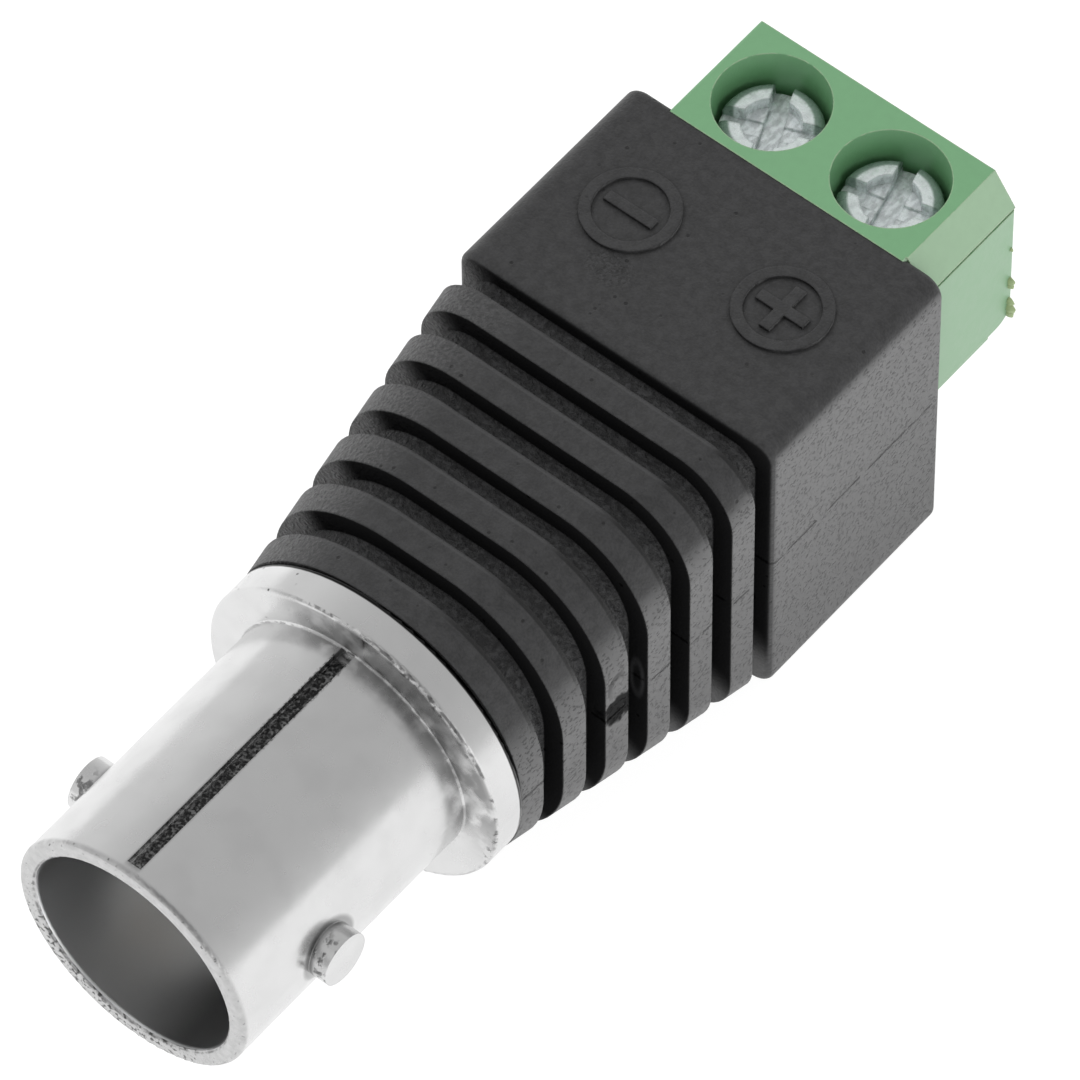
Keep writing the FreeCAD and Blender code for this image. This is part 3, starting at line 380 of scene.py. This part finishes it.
    def mix(self, factor, first, second):
        """Colour between two colours."""
        node = self.nodes.new("ShaderNodeMix")
        node.data_type = "RGBA"
        self.feed(node.inputs[0], factor)
        for socket, value in ((node.inputs[6], first), (node.inputs[7], second)):
            self.feed(socket, value if isinstance(value, bpy.types.NodeSocket) else (*value, 1.0))
        return node.outputs[2]

    def over(self, base, mask, tone, strength):
        """Colour with a tone laid over it inside a mask, as strongly as given."""
        return self.mix(self.maths("MULTIPLY", mask, strength), base, tone)

    def tinted(self, base, shade):
        """Colour multiplied by a shade."""
        node = self.nodes.new("ShaderNodeMix")
        node.data_type = "RGBA"
        node.blend_type = "MULTIPLY"
        for socket, value in zip((node.inputs[0], node.inputs[6], node.inputs[7]), (1.0, base, shade)):
            self.feed(socket, value)
        return node.outputs[2]

    def near_lugs(self, s, reach):
        """Mask round the two lugs on the barrel."""
        high = self.maths("DIVIDE", self.z, reach)
        along = self.maths("DIVIDE", self.maths("SUBTRACT", self.y, s.lug_place), reach)
        square = self.maths("ADD", self.maths("MULTIPLY", high, high), self.maths("MULTIPLY", along, along))
        return self.below(square, 0.7, 1.0)

    def radius(self):
        """Distance from the jack's axis."""
        squares = [self.maths("MULTIPLY", part, part) for part in (self.x, self.z)]
        return self.maths("SQRT", self.maths("ADD", *squares))

    def soft_edges(self, size):
        """Normal that rounds the edges of a solid."""
        node = self.nodes.new("ShaderNodeBevel")
        node.samples = self.RAYS
        node.inputs["Radius"].default_value = size
        return node.outputs["Normal"]

    def corners(self, size):
        """Mask of the inner corners and narrow gaps within that size, where shade is painted."""
        node = self.nodes.new("ShaderNodeAmbientOcclusion")
        node.samples = self.RAYS
        node.inputs["Distance"].default_value = size
        return self.outside(node.outputs["AO"])

    def relief(self, height, depth, under):
        """Normal of a surface raised by the height, a share of the depth in metres, over another normal."""
        node = self.nodes.new("ShaderNodeBump")
        node.inputs["Distance"].default_value = depth
        self.feed(node.inputs["Height"], height)
        self.feed(node.inputs["Normal"], under)
        return node.outputs["Normal"]

    def done(self, base, roughness, normal):
        """Feeds the shader, and returns the material."""
        for name, value in (("Base Color", base), ("Roughness", roughness), ("Normal", normal)):
            self.feed(self.shader.inputs[name], value)
        return self.material


def dress(nodes, material):
    """Puts one material on some of the frame's nodes."""
    for name in nodes:
        NODES[name].data.materials.clear()
        NODES[name].data.materials.append(material)


def darker(tone, part):
    """Tone times a number, lighter where that is over 1."""
    return tuple(channel * part for channel in tone)


def nickel_finish(s):
    """Bright plating with pitted rims, a rough seam, a chipped flange and a dull bore, with painted shade round
    the seam, the lugs and the flange's rear, and painted reflections before the flange and in the bore.
    """
    f = Finish("nickel_plating", s.roughness, metallic=1.0)
    radius = f.radius()
    from_middle = f.maths("ABSOLUTE", f.x)
    upper = f.towards(UPPER_RIGHT, 0.2, 0.75)
    inside = f.below(radius, s.bore_radius, s.bore_radius + 0.03 * MM)

    # The seam along the barrel, frayed at its sides, and the painted shadow round it.
    seam_end = s.flange_start - s.seam_gap
    half_seam = f.blend(f.y, 0.0, seam_end, s.seam_width * 0.34, s.seam_width * 0.5)
    frayed = f.maths("ADD", from_middle, f.maths("MULTIPLY", f.cloud(0.14 * MM, 4.0), s.seam_fray))
    seam = f.all_of(
        f.below(f.maths("SUBTRACT", frayed, half_seam), 0.14 * MM, 0.26 * MM),
        f.blend(f.y, s.seam_setback - 0.2 * MM, s.seam_setback + 0.4 * MM),
        f.below(f.y, seam_end - 0.15 * MM, seam_end),
        f.outside(inside),
    )
    seam_shadow = f.all_of(
        f.below(from_middle, s.seam_width * 0.45, s.seam_width * 0.75),
        f.blend(f.y, s.seam_setback - 0.3 * MM, s.seam_setback + 0.1 * MM),
        f.below(f.y, seam_end - 0.1 * MM, seam_end + 0.1 * MM),
        f.outside(inside),
    )

    # The mouth's rim, with more pits on its worn side and a broken dark line along the bore.
    rim = f.all_of(f.below(f.y, 0.1 * MM, 0.3 * MM), f.outside(inside))
    worn_side = f.towards(WORN_SIDE, 0.1, 0.95)
    lumps = f.cloud(s.pit_size, 4.0)
    rim_pits = f.all_of(rim, f.blend(f.maths("ADD", lumps, f.maths("MULTIPLY", worn_side, 0.13)), 0.64, 0.74))
    rim_line = f.all_of(
        f.line(radius, s.bore_radius + 0.07 * MM, 0.01 * MM, 0.06 * MM), rim, f.patches(0.4 * MM, 0.35, 0.60)
    )

    # The flange: chips and a broken line on its front edge, stray pits, a smudged band of painted
    # reflection in front of it, a dull spot behind the seam, and a line of painted shade where it meets the
    # moulding.
    flange = f.blend(radius, s.barrel_radius + 0.9 * MM, s.flange_radius - 0.1 * MM)
    front_edge = f.all_of(flange, f.below(f.y, s.flange_start + 0.05 * MM, s.flange_start + 0.16 * MM))
    chipped = f.either(f.towards(UPPER_RIGHT, 0.90, 0.95), f.towards(LOWER_RIGHT, 0.965, 0.985))
    chips = f.all_of(front_edge, chipped, f.patches(s.chip_size, 0.54, 0.64), 0.8)
    stray = f.all_of(
        f.blend(radius, 4.9 * MM, 5.1 * MM), f.towards(UPPER_LEFT, 0.93, 0.98), f.pores(0.5 * MM, 0.13)
    )
    pits = f.either(f.either(rim_pits, chips), stray)
    # Darker, rougher smudged band in front of the flange, darkened as a painted reflection of the flange's face.
    smudged_reflection = f.all_of(
        f.blend(f.y, s.flange_start - 1.0 * MM, s.flange_start - 0.2 * MM),
        f.below(f.y, s.flange_start + 0.02 * MM, s.flange_start + 0.10 * MM),
        f.patches(s.reflection_smudge_size, 0.36, 0.62),
        upper,
    )
    front_line = f.all_of(
        f.line(f.y, s.flange_start + 0.07 * MM, 0.02 * MM, 0.07 * MM),
        flange,
        upper,
        f.patches(0.5 * MM, 0.42, 0.56),
    )
    # Painted shade along the flange's rear edge where it meets the moulding.
    rear_shade_line = f.all_of(f.blend(f.y, NECK_START - 0.25 * MM, NECK_START - 0.19 * MM), flange)
    dull = f.all_of(
        f.blend(radius, s.barrel_radius + 0.02 * MM, s.barrel_radius + 0.1 * MM),
        f.below(f.facing_y, -0.9, -0.7),
        f.below(from_middle, 0.45 * MM, 0.8 * MM),
    )

    # The lugs: torn flanks, and a ring of painted shade round each root.
    lug_flank = f.all_of(
        f.blend(radius, s.barrel_radius + 0.02 * MM, s.barrel_radius + 0.06 * MM),
        f.below(f.y, 6.0 * MM, 6.1 * MM),
        f.below(f.maths("ABSOLUTE", f.facing_x), 0.5, 0.9),
        f.below(f.facing_y, -0.5, 0.3),
    )
    torn = f.all_of(lug_flank, f.patches(0.35 * MM, 0.52, 0.62))
    lug_root_shade = f.below(radius, s.barrel_radius + 0.02 * MM, s.barrel_radius + 0.3 * MM)
    lug_root_shade = f.all_of(lug_root_shade, f.near_lugs(s, s.lug_shade_reach))

    # Colours, from the plating up.
    # Painted reflection in the bore: lighter towards one side of it, darker towards the other.
    bore_reflection = f.towards(BORE_SIDE, 0.35, 0.95)
    rough_floor = f.patches(0.12 * MM, 0.38, 0.62)
    stains = f.patches(1.6 * MM, 0.35, 0.75, 2.0)
    skin = f.mix(stains, s.nickel, darker(s.nickel, 0.94))
    skin = f.mix(rim, skin, f.mix(f.cloud(0.3 * MM, 3.0), darker(s.nickel, 0.55), darker(s.nickel, 0.9)))
    skin = f.over(skin, seam_shadow, darker(s.nickel, 0.3), 0.55)
    skin = f.over(skin, smudged_reflection, darker(s.nickel, 0.35), 0.75)
    skin = f.over(skin, lug_root_shade, darker(s.nickel, 0.3), 0.7)
    skin = f.mix(torn, skin, grey(0.25))
    skin = f.mix(inside, skin, f.mix(bore_reflection, darker(s.bare, 0.55), darker(s.bare, 1.65)))
    for mask, strength in ((pits, 1.0), (front_line, 0.8), (rim_line, 0.7)):
        skin = f.over(skin, mask, s.pit, strength)
    skin = f.mix(rear_shade_line, skin, SHADE_AND_SEAM_BLACK)
    skin = f.over(skin, seam, f.mix(rough_floor, SHADE_AND_SEAM_BLACK, grey(0.20)), 0.95)

    # Roughness and relief.
    polish = f.blend(f.cloud(0.9 * MM, 3.0), 0.3, 0.7, s.roughness - 0.03, s.roughness + 0.05)
    for mask, matt in ((f.either(seam, inside), 0.38), (smudged_reflection, 0.4), (dull, 0.5)):
        polish = f.either(polish, f.maths("MULTIPLY", mask, matt))
    normal = f.soft_edges(0.05 * MM)
    normal = f.relief(f.all_of(lumps, rim, f.blend(worn_side, 0.0, 1.0, 0.3, 1.0)), 0.035 * MM, normal)
    normal = f.relief(f.all_of(rough_floor, f.either(seam, f.maths("MULTIPLY", torn, 0.6))), 0.04 * MM, normal)
    normal = f.relief(f.cloud(0.5 * MM, 2.0), 0.0012 * MM, normal)
    return f.done(skin, polish, normal)


def black_finish(s):
    """Matt black moulding: fine grain on top, pores on the sides, rough grooves, the moulding's flaws, painted
    light on the sides and rib ends, and painted shade on the front walls, in corners and in the torn spot.
    """
    f = Finish("black_plastic", s.roughness)
    grain = f.patches(s.grain, 0.32, 0.68, 3.0)
    mottle = f.patches(0.4 * MM, 0.35, 0.65)
    rough = f.patches(s.groove_grain, 0.32, 0.68, 5.0)
    fuzz = f.patches(s.end_grain, 0.35, 0.65, 5.0)
    rounded = f.soft_edges(0.12 * MM)
    right_turn = f.blend(f.facing_x, 0.1, 0.4)

    # Zones of the neck. The place runs from 0 at a rib's front wall to 1 at the next one's.
    along_neck = f.maths("DIVIDE", f.maths("SUBTRACT", f.y, NECK_START), s.rib_pitch)
    place = f.maths("FRACT", along_neck)
    on_neck = f.below(along_neck, NECK_RIBS, NECK_RIBS + 0.03)
    groove_floor = f.all_of(
        f.blend(place, s.rib_share + 0.01, s.rib_share + 0.03),
        on_neck,
        f.below(f.maths("ABSOLUTE", f.facing_y), 0.5, 0.8),
    )
    # The ribs' front walls, darkened as painted shade, except towards the left and underneath, where light reaches
    # them.
    shaded_front_wall = f.all_of(
        f.below(f.axes(rounded)[1], -0.97, -0.75),
        f.blend(along_neck, 0.5, 0.6),
        f.outside(f.towards(LEFT, 0.66, 0.82)),
        f.outside(f.towards(BELOW, 0.55, 0.72)),
    )
    sideways = f.all_of(f.blend(f.maths("ABSOLUTE", f.facing_x), 0.84, 0.97), f.outside(groove_floor))
    # The ribs' left ends: fuzzy grain, and painted sheen that makes them paler.
    left_end_sheen = f.all_of(
        f.towards(LEFT, 0.35, 0.80), f.blend(f.cloud(0.13 * MM, 5.0), 0.38, 0.6, 0.30, 1.0), on_neck
    )
    # Painted highlight along a fine lip near each rib's rear edge where it turns left, and painted shade near the
    # rear edge where it turns right.
    lip_highlight = f.all_of(f.line(place, s.rib_share - 0.045, 0.012, 0.028), on_neck)
    rear_edge_shade = f.all_of(
        f.blend(place, s.rib_share - 0.085, s.rib_share - 0.06),
        on_neck,
        right_turn,
        f.outside(f.either(sideways, groove_floor)),
    )

    # Marks of the mould and of handling, and painted shade in the inner corners.
    drawn = (1.0, 1.35, 1.0)
    dots = f.either(f.pores(s.pore, 0.34, drawn), f.blend(f.cloud(0.11 * MM, 4.0, drawn), 0.44, 0.32))
    pores = f.all_of(dots, sideways)
    parting = f.all_of(
        f.line(f.maths("ADD", f.z, f.maths("MULTIPLY", grain, 0.05 * MM)), s.parting_height, 0.03 * MM, 0.09 * MM),
        f.patches(0.8 * MM, 0.42, 0.5, 1.0),
        f.blend(f.x, 0.0, 1.0 * MM),
    )
    dints = f.all_of(f.pores(0.6 * MM, 0.15), f.patches(2.2 * MM, 0.48, 0.6, 1.0), f.outside(sideways))
    scuff = f.all_of(f.near(s.scuff, (1.3 * MM, 0.8 * MM, 0.4 * MM)), f.patches(0.2 * MM, 0.45, 0.55, 3.0))
    corners = f.all_of(
        f.blend(f.corners(0.16 * MM), 0.08, 0.5),
        f.outside(groove_floor),
        f.blend(f.cloud(0.35 * MM, 3.0), 0.35, 0.5, 0.45, 1.0),
    )

    # The torn spot, painted dark as the shade in its hole, the dent above it and the shrink hole behind it.
    ragged = f.maths("MULTIPLY", f.maths("SUBTRACT", f.cloud(0.45 * MM, 5.0), 0.5), 2.2)
    torn = f.near(s.flaw, (1.2 * MM, 1.0 * MM, 0.95 * MM))
    # The torn spot's hole: darkened below as painted shade, and kept from shining.
    hole = f.all_of(f.blend(f.maths("ADD", torn, ragged), 0.15, 0.8), f.blend(torn, 0.0, 0.3))
    dent = f.near(Vector(s.flaw) + Vector((0.0, -0.1 * MM, 1.35 * MM)), (1.2 * MM, 0.5 * MM, 0.7 * MM))
    ring = f.all_of(
        f.near(s.cavity, (0.38 * MM, 0.5 * MM, 1.3 * MM)),
        f.outside(f.near(s.cavity, (0.26 * MM, 2.0 * MM, 1.1 * MM))),
    )

    # Colours, from the plain moulding up, with painted light on the sides and ribs' left ends, painted highlight
    # and shade along the ribs' rear edges, and painted shade on the front walls, in the corners and in the torn
    # spot.
    uneven = f.maths("MULTIPLY", f.maths("ADD", grain, mottle), 0.5)
    tone = f.mix(uneven, darker(s.black, 0.68), darker(s.black, 1.32))
    # Painted light on the sides and the ribs' left ends: paler than the top, darker towards the bottom, with noise
    # in it.
    low_side = f.blend(f.z, -6.5 * MM, 4.0 * MM)
    side_light_level = f.maths("MULTIPLY", f.maths("ADD", low_side, f.cloud(0.45 * MM, 4.0)), 0.5)
    pale = f.mix(side_light_level, darker(s.side, 0.55), darker(s.side, 1.35))
    tone = f.mix(f.either(sideways, left_end_sheen), tone, pale)
    tone = f.mix(groove_floor, tone, f.mix(rough, darker(s.black, 0.5), darker(s.black, 1.3)))
    tone = f.over(tone, f.all_of(lip_highlight, f.outside(right_turn)), darker(s.black, 1.9), 0.5)
    tone = f.over(tone, rear_edge_shade, darker(s.black, 0.15), 0.9)
    tone = f.over(tone, pores, darker(s.black, 0.5), 0.55)
    tone = f.over(tone, scuff, f.mix(f.blend(grain, 0.3, 0.6), darker(s.black, 0.2), darker(s.black, 1.5)), 0.5)
    tone = f.mix(shaded_front_wall, tone, darker(s.black, 0.42))
    for mask, strength in ((dints, 0.8), (parting, 0.85), (corners, 0.9), (hole, 0.75)):
        tone = f.over(tone, mask, darker(s.black, 0.08), strength)
    tone = f.over(tone, ring, darker(s.black, 2.5), 0.8)

    # Roughness, relief and sheen. The grooves' walls and the torn spot don't shine.
    matt = f.blend(f.either(shaded_front_wall, hole), 0.0, 1.0, s.roughness, 0.9)
    normal = f.relief(f.all_of(f.maths("ADD", grain, mottle), f.outside(sideways)), 0.007 * MM, rounded)
    normal = f.relief(f.outside(pores), 0.03 * MM, normal)
    normal = f.relief(f.all_of(rough, groove_floor), 0.06 * MM, normal)
    normal = f.relief(f.all_of(fuzz, left_end_sheen), 0.09 * MM, normal)
    normal = f.relief(dent, 0.25 * MM, normal)
    normal = f.relief(f.outside(f.either(scuff, dints)), 0.03 * MM, normal)
    normal = f.relief(f.outside(f.either(parting, hole)), 0.05 * MM, normal)
    shining = f.outside(f.either(shaded_front_wall, hole))
    f.feed(f.shader.inputs["Sheen Weight"], f.maths("MULTIPLY", shining, 0.08))
    f.feed(f.shader.inputs["Specular IOR Level"], f.maths("MULTIPLY", shining, 0.5))
    return f.done(tone, matt, normal)


def green_finish(s):
    """Green moulding with faint mottling, painted light on the plus side's shoulder and flank, painted shade in
    its corners, and lighter, worn edges.
    """
    f = Finish("green_plastic", s.roughness)
    mottle = f.cloud(s.grain, 4.0)
    # Painted light on the plus side: a lighter shoulder and a paler, greyer side.
    flank = f.blend(f.x, BLOCK_SIDE - 1.5 * MM, BLOCK_SIDE - 1.4 * MM)
    tone = f.mix(f.all_of(flank, f.blend(f.facing_x, 0.3, 0.45)), s.green, s.shoulder)
    tone = f.mix(f.all_of(flank, f.blend(f.facing_x, 0.85, 0.97)), tone, s.side)
    tone = f.tinted(tone, f.mix(mottle, grey(0.90), grey(1.0)))
    # Painted shade in the inner corners.
    tone = f.over(tone, f.corners(0.12 * MM), darker(s.green, 0.25), 0.5)
    soft = f.soft_edges(0.07 * MM)
    edge = f.all_of(f.below(f.dot(soft, f.normal), 0.93, 0.995), f.patches(0.3 * MM, 0.30, 0.5, 3.0))
    tone = f.over(tone, edge, s.worn, 0.8)
    matt = f.blend(mottle, 0.2, 0.8, s.roughness - 0.05, s.roughness + 0.08)
    f.shader.inputs["Specular IOR Level"].default_value = 0.75
    return f.done(tone, matt, f.relief(f.cloud(0.12 * MM, 3.0), 0.006 * MM, soft))


def zinc_finish(s):
    """Bright zinc on stamped steel: white lands, a pale streaked recess and a rim painted with the reflection of
    the green shaft.
    """
    f = Finish("zinc_plating", s.roughness, metallic=0.2)
    sunk = f.below(f.z, SCREW_TOP - 0.16 * MM, SCREW_TOP - 0.08 * MM)
    streaks = f.blend(f.cloud(0.25 * MM, 2.0, (0.7, 1.6, 1.6)), 0.35, 0.65)
    spots = f.patches(0.35 * MM, 0.45, 0.7)
    squares = [
        f.maths("MULTIPLY", part, part)
        for part in (f.off(f.off(f.x, SCREW_MIDDLE), SCREW_SPREAD), f.maths("SUBTRACT", f.y, SCREW_PLACE))
    ]
    reach = f.maths("SQRT", f.maths("ADD", *squares))
    # The head's rounded rim, painted dark green as the reflection of the block's shaft.
    rounded = f.all_of(
        f.blend(reach, s.head_radius - 0.45 * MM, s.head_radius - 0.33 * MM),
        f.blend(f.z, SCREW_TOP - 0.6 * MM, SCREW_TOP - 0.5 * MM),
    )
    tone = f.mix(spots, s.zinc, darker(s.zinc, 0.82))
    tone = f.mix(sunk, tone, f.mix(streaks, darker(s.zinc, 0.66), darker(s.zinc, 0.98)))
    tone = f.over(tone, rounded, s.rim, 0.85)
    polish = f.blend(f.cloud(0.2 * MM, 3.0), 0.3, 0.7, s.roughness, s.roughness + 0.18)
    normal = f.relief(f.cloud(s.dent, 2.0), 0.03 * MM, f.soft_edges(0.12 * MM))
    normal = f.relief(streaks, 0.006 * MM, normal)
    return f.done(tone, polish, normal)


def metal_finish(name, tone, roughness, grain=0.2 * MM):
    """Plain drawn or plated metal with fine marks along it."""
    f = Finish(name, roughness, metallic=1.0)
    marks = f.cloud(grain, 4.0, (1.0, 3.0, 1.0))
    worn = f.mix(marks, darker(tone, 0.86), tone)
    polish = f.blend(marks, 0.3, 0.7, roughness, roughness + 0.12)
    return f.done(worn, polish, f.relief(marks, 0.006 * MM, f.soft_edges(0.04 * MM)))


def plastic_finish(name, tone, roughness, grain=0.15 * MM):
    """Plain insulation with a faint skin."""
    f = Finish(name, roughness)
    skin = f.cloud(grain, 3.0)
    toned = f.mix(skin, darker(tone, 0.92), tone)
    matt = f.blend(skin, 0.3, 0.7, roughness - 0.05, roughness + 0.08)
    return f.done(toned, matt, f.relief(skin, 0.005 * MM, f.soft_edges(0.05 * MM)))


class ADAPTER_OT_jack(bpy.types.Operator):
    """Plates the jack's die-casting."""

    bl_idname = "adapter.jack"
    bl_label = "Jack"

    def execute(self, context):
        dress(["bnc_shell"], nickel_finish(context.scene.adapter.plating))
        return {"FINISHED"}


class ADAPTER_OT_contact(bpy.types.Operator):
    """Finishes the insulator and the centre contact."""

    bl_idname = "adapter.contact"
    bl_label = "Contact"

    def execute(self, context):
        wiring = context.scene.adapter.wiring
        dress(["bnc_insulator"], plastic_finish("dielectric", wiring.dielectric, 0.45))
        dress(["centre_contact"], metal_finish("gilt_brass", wiring.gilt, 0.22))
        return {"FINISHED"}


class ADAPTER_OT_moulding(bpy.types.Operator):
    """Finishes the black moulding."""

    bl_idname = "adapter.moulding"
    bl_label = "Moulding"

    def execute(self, context):
        dress(["body_overmould"], black_finish(context.scene.adapter.moulding))
        return {"FINISHED"}


class ADAPTER_OT_block(bpy.types.Operator):
    """Finishes the green terminal block, and makes the stubs of its trimmed gate."""

    bl_idname = "adapter.block"
    bl_label = "Terminal block"

    def execute(self, context):
        s = context.scene.adapter.block
        dress(["terminal_housing"], green_finish(s))
        shape = bmesh.new()
        for height, size in GATE_STUBS:
            centre = Vector((BLOCK_SIDE, BLOCK_REAR - s.stub_radius * 0.7, height * MM))
            self.add_lump(shape, centre, s.stub_radius * size)
        mesh = bpy.data.meshes.new("gate_stubs")
        shape.to_mesh(mesh)
        shape.free()
        mesh.shade_smooth()
        mesh.materials.append(plastic_finish("green_stubs", s.stub, 0.45))
        stubs = bpy.data.objects.new("gate_stubs", mesh)
        context.scene.collection.objects.link(stubs)
        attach(stubs, "housing")
        return {"FINISHED"}

    def add_lump(self, shape, centre, radius):
        """Adds an uneven lump, wide across the block and flat along it."""
        ball = bmesh.ops.create_icosphere(shape, subdivisions=3, radius=radius)
        unevenness, fineness, form = 0.25, 1.6, Vector((1.2, 0.5, 1.0))
        for vertex in ball["verts"]:
            swell = 1 + unevenness * noise.noise(vertex.co / radius * fineness + centre / MM)
            vertex.co = centre + vertex.co * form * swell


class ADAPTER_OT_clamps(bpy.types.Operator):
    """Finishes the screws, the cages, the blades and the ground pin."""

    bl_idname = "adapter.clamps"
    bl_label = "Clamps"

    def execute(self, context):
        s = context.scene.adapter.clamps
        dress([f"clamp_{part}_{pole}" for part in ("screw", "cage") for pole in POLES], zinc_finish(s))
        tin = metal_finish("tinned_metal", s.tin, 0.3)
        dress([f"contact_blade_{pole}" for pole in POLES] + ["ground_pin"], tin)
        return {"FINISHED"}


class ADAPTER_OT_wiring(bpy.types.Operator):
    """Finishes the leads, their sleeves and the soldered joints."""

    bl_idname = "adapter.wiring"
    bl_label = "Wiring"

    def execute(self, context):
        s = context.scene.adapter.wiring
        dress(["signal_lead", "ground_lead"], metal_finish("copper", s.copper, 0.25, 0.1 * MM))
        dress(["signal_sleeve"], plastic_finish("red_insulation", s.signal, 0.4))
        dress(["ground_sleeve"], plastic_finish("grey_insulation", s.ground, 0.45))
        joints = [f"solder_{end}" for end in ("centre", "ground", "plus", "minus")]
        dress(joints, metal_finish("solder", s.solder, 0.3, 0.3 * MM))
        return {"FINISHED"}


class ADAPTER_OT_stage(bpy.types.Operator):
    """Lays the floor, lights the tent, hangs the lamps and sets the camera."""

    bl_idname = "adapter.stage"
    bl_label = "Stage"

    def execute(self, context):
        s = context.scene.adapter.stage
        self.lay_floor(context, s)
        self.light_tent(context, s)
        self.hang_lamps(context, s)
        self.set_camera(context, s)
        context.scene.view_settings.view_transform = "Standard"
        return {"FINISHED"}

    def lay_floor(self, context, s):
        """Pale floor just under the part, bright enough to stay white."""
        shape = bmesh.new()
        bmesh.ops.create_grid(shape, x_segments=4, y_segments=4, size=s.floor_size / 2)
        mesh = bpy.data.meshes.new("floor")
        shape.to_mesh(mesh)
        shape.free()
        floor = bpy.data.objects.new("floor", mesh)
        floor.location.z = BODY_UNDERSIDE - FLOOR_GAP
        context.scene.collection.objects.link(floor)
        pale = Finish("pale_floor", 0.9)
        pale.shader.inputs["Base Color"].default_value = (*s.floor_tone, 1.0)
        pale.shader.inputs["Emission Color"].default_value = (*grey(1.0), 1.0)
        pale.shader.inputs["Emission Strength"].default_value = s.floor_glow
        mesh.materials.append(pale.material)

    def light_tent(self, context, s):
        """White tent whose ceiling is dimmer than its walls, with an opening at the front."""
        world = bpy.data.worlds.new("light_tent")
        world.use_nodes = True
        nodes, links = world.node_tree.nodes, world.node_tree.links
        nodes.clear()
        direction = nodes.new("ShaderNodeTexCoord")
        strength = nodes.new("ShaderNodeMath")
        strength.operation = "MULTIPLY"
        patches = (
            (s.dim, 0.05, 0.9, s.sides, s.ceiling),
            (s.opening_side, 0.72, 0.98, 1.0, s.opening / s.ceiling),
        )
        for factor, (side, border, middle, around, within) in zip(strength.inputs, patches):
            cosine = nodes.new("ShaderNodeVectorMath")
            cosine.operation = "DOT_PRODUCT"
            cosine.inputs[1].default_value = Vector(side).normalized()
            level = nodes.new("ShaderNodeMapRange")
            level.interpolation_type = "SMOOTHSTEP"
            numbers = (("From Min", border), ("From Max", middle), ("To Min", around), ("To Max", within))
            for socket, number in numbers:
                level.inputs[socket].default_value = number
            links.new(direction.outputs["Generated"], cosine.inputs[0])
            links.new(cosine.outputs["Value"], level.inputs["Value"])
            links.new(level.outputs["Result"], factor)
        background = nodes.new("ShaderNodeBackground")
        output = nodes.new("ShaderNodeOutputWorld")
        links.new(strength.outputs[0], background.inputs["Strength"])
        links.new(background.outputs["Background"], output.inputs["Surface"])
        context.scene.world = world

    def hang_lamps(self, context, s):
        """Soft lamps that light the plastics and stay out of the metal's reflections."""
        lamps = (("top_lamp", s.top_power, s.top_place), ("side_lamp", s.side_power, s.side_place))
        for name, power, place in lamps:
            data = bpy.data.lights.new(name, "AREA")
            data.size = s.lamp_size
            data.energy = power
            lamp = bpy.data.objects.new(name, data)
            turn = (-Vector(place)).to_track_quat("-Z", "Y").to_matrix().to_4x4()
            lamp.matrix_world = Matrix.Translation(Vector(place)) @ turn
            lamp.visible_glossy = False
            context.scene.collection.objects.link(lamp)

    def set_camera(self, context, s):
        """Camera at the photograph's angle, aimed at the part."""
        data = bpy.data.cameras.new("camera")
        data.lens = s.focal
        data.clip_start, data.clip_end = 0.01, 10.0
        camera = bpy.data.objects.new("camera", data)
        back = Vector((
            math.sin(s.azimuth) * math.cos(s.elevation),
            -math.cos(s.azimuth) * math.cos(s.elevation),
            math.sin(s.elevation),
        ))
        turn = (-back).to_track_quat("-Z", "Y").to_matrix().to_4x4() @ Matrix.Rotation(s.roll, 4, "Z")
        camera.matrix_world = Matrix.Translation(Vector(s.aim) + back * s.distance) @ turn
        context.scene.collection.objects.link(camera)
        context.scene.camera = camera


STEPS = (
    ADAPTER_OT_jack,
    ADAPTER_OT_contact,
    ADAPTER_OT_moulding,
    ADAPTER_OT_block,
    ADAPTER_OT_clamps,
    ADAPTER_OT_wiring,
    ADAPTER_OT_stage,
)


class ADAPTER_PT_panel(bpy.types.Panel):
    """Lists the steps and their settings."""

    bl_idname = "ADAPTER_PT_panel"
    bl_label = "Terminal adapter"
    bl_space_type = "VIEW_3D"
    bl_region_type = "UI"
    bl_category = "Adapter"

    def draw(self, context):
        for step in STEPS:
            self.layout.operator(step.bl_idname)
        for name in AdapterSettings.__annotations__:
            group = getattr(context.scene.adapter, name)
            box = self.layout.box()
            box.label(text=name.capitalize())
            for setting in group.__annotations__:
                box.prop(group, setting)


CLASSES = (
    PlatingSettings,
    MouldingSettings,
    BlockSettings,
    ClampSettings,
    WiringSettings,
    StageSettings,
    AdapterSettings,
    *STEPS,
    ADAPTER_PT_panel,
)


def register():
    for cls in CLASSES:
        bpy.utils.register_class(cls)
    bpy.types.Scene.adapter = PointerProperty(type=AdapterSettings, name="Adapter")


def unregister():
    del bpy.types.Scene.adapter
    for cls in reversed(CLASSES):
        bpy.utils.unregister_class(cls)


def main():
    register()
    bpy.ops.adapter.jack()
    bpy.ops.adapter.contact()
    bpy.ops.adapter.moulding()
    bpy.ops.adapter.block()
    bpy.ops.adapter.clamps()
    bpy.ops.adapter.wiring()
    bpy.ops.adapter.stage()


if __name__ == "__main__":
    main()
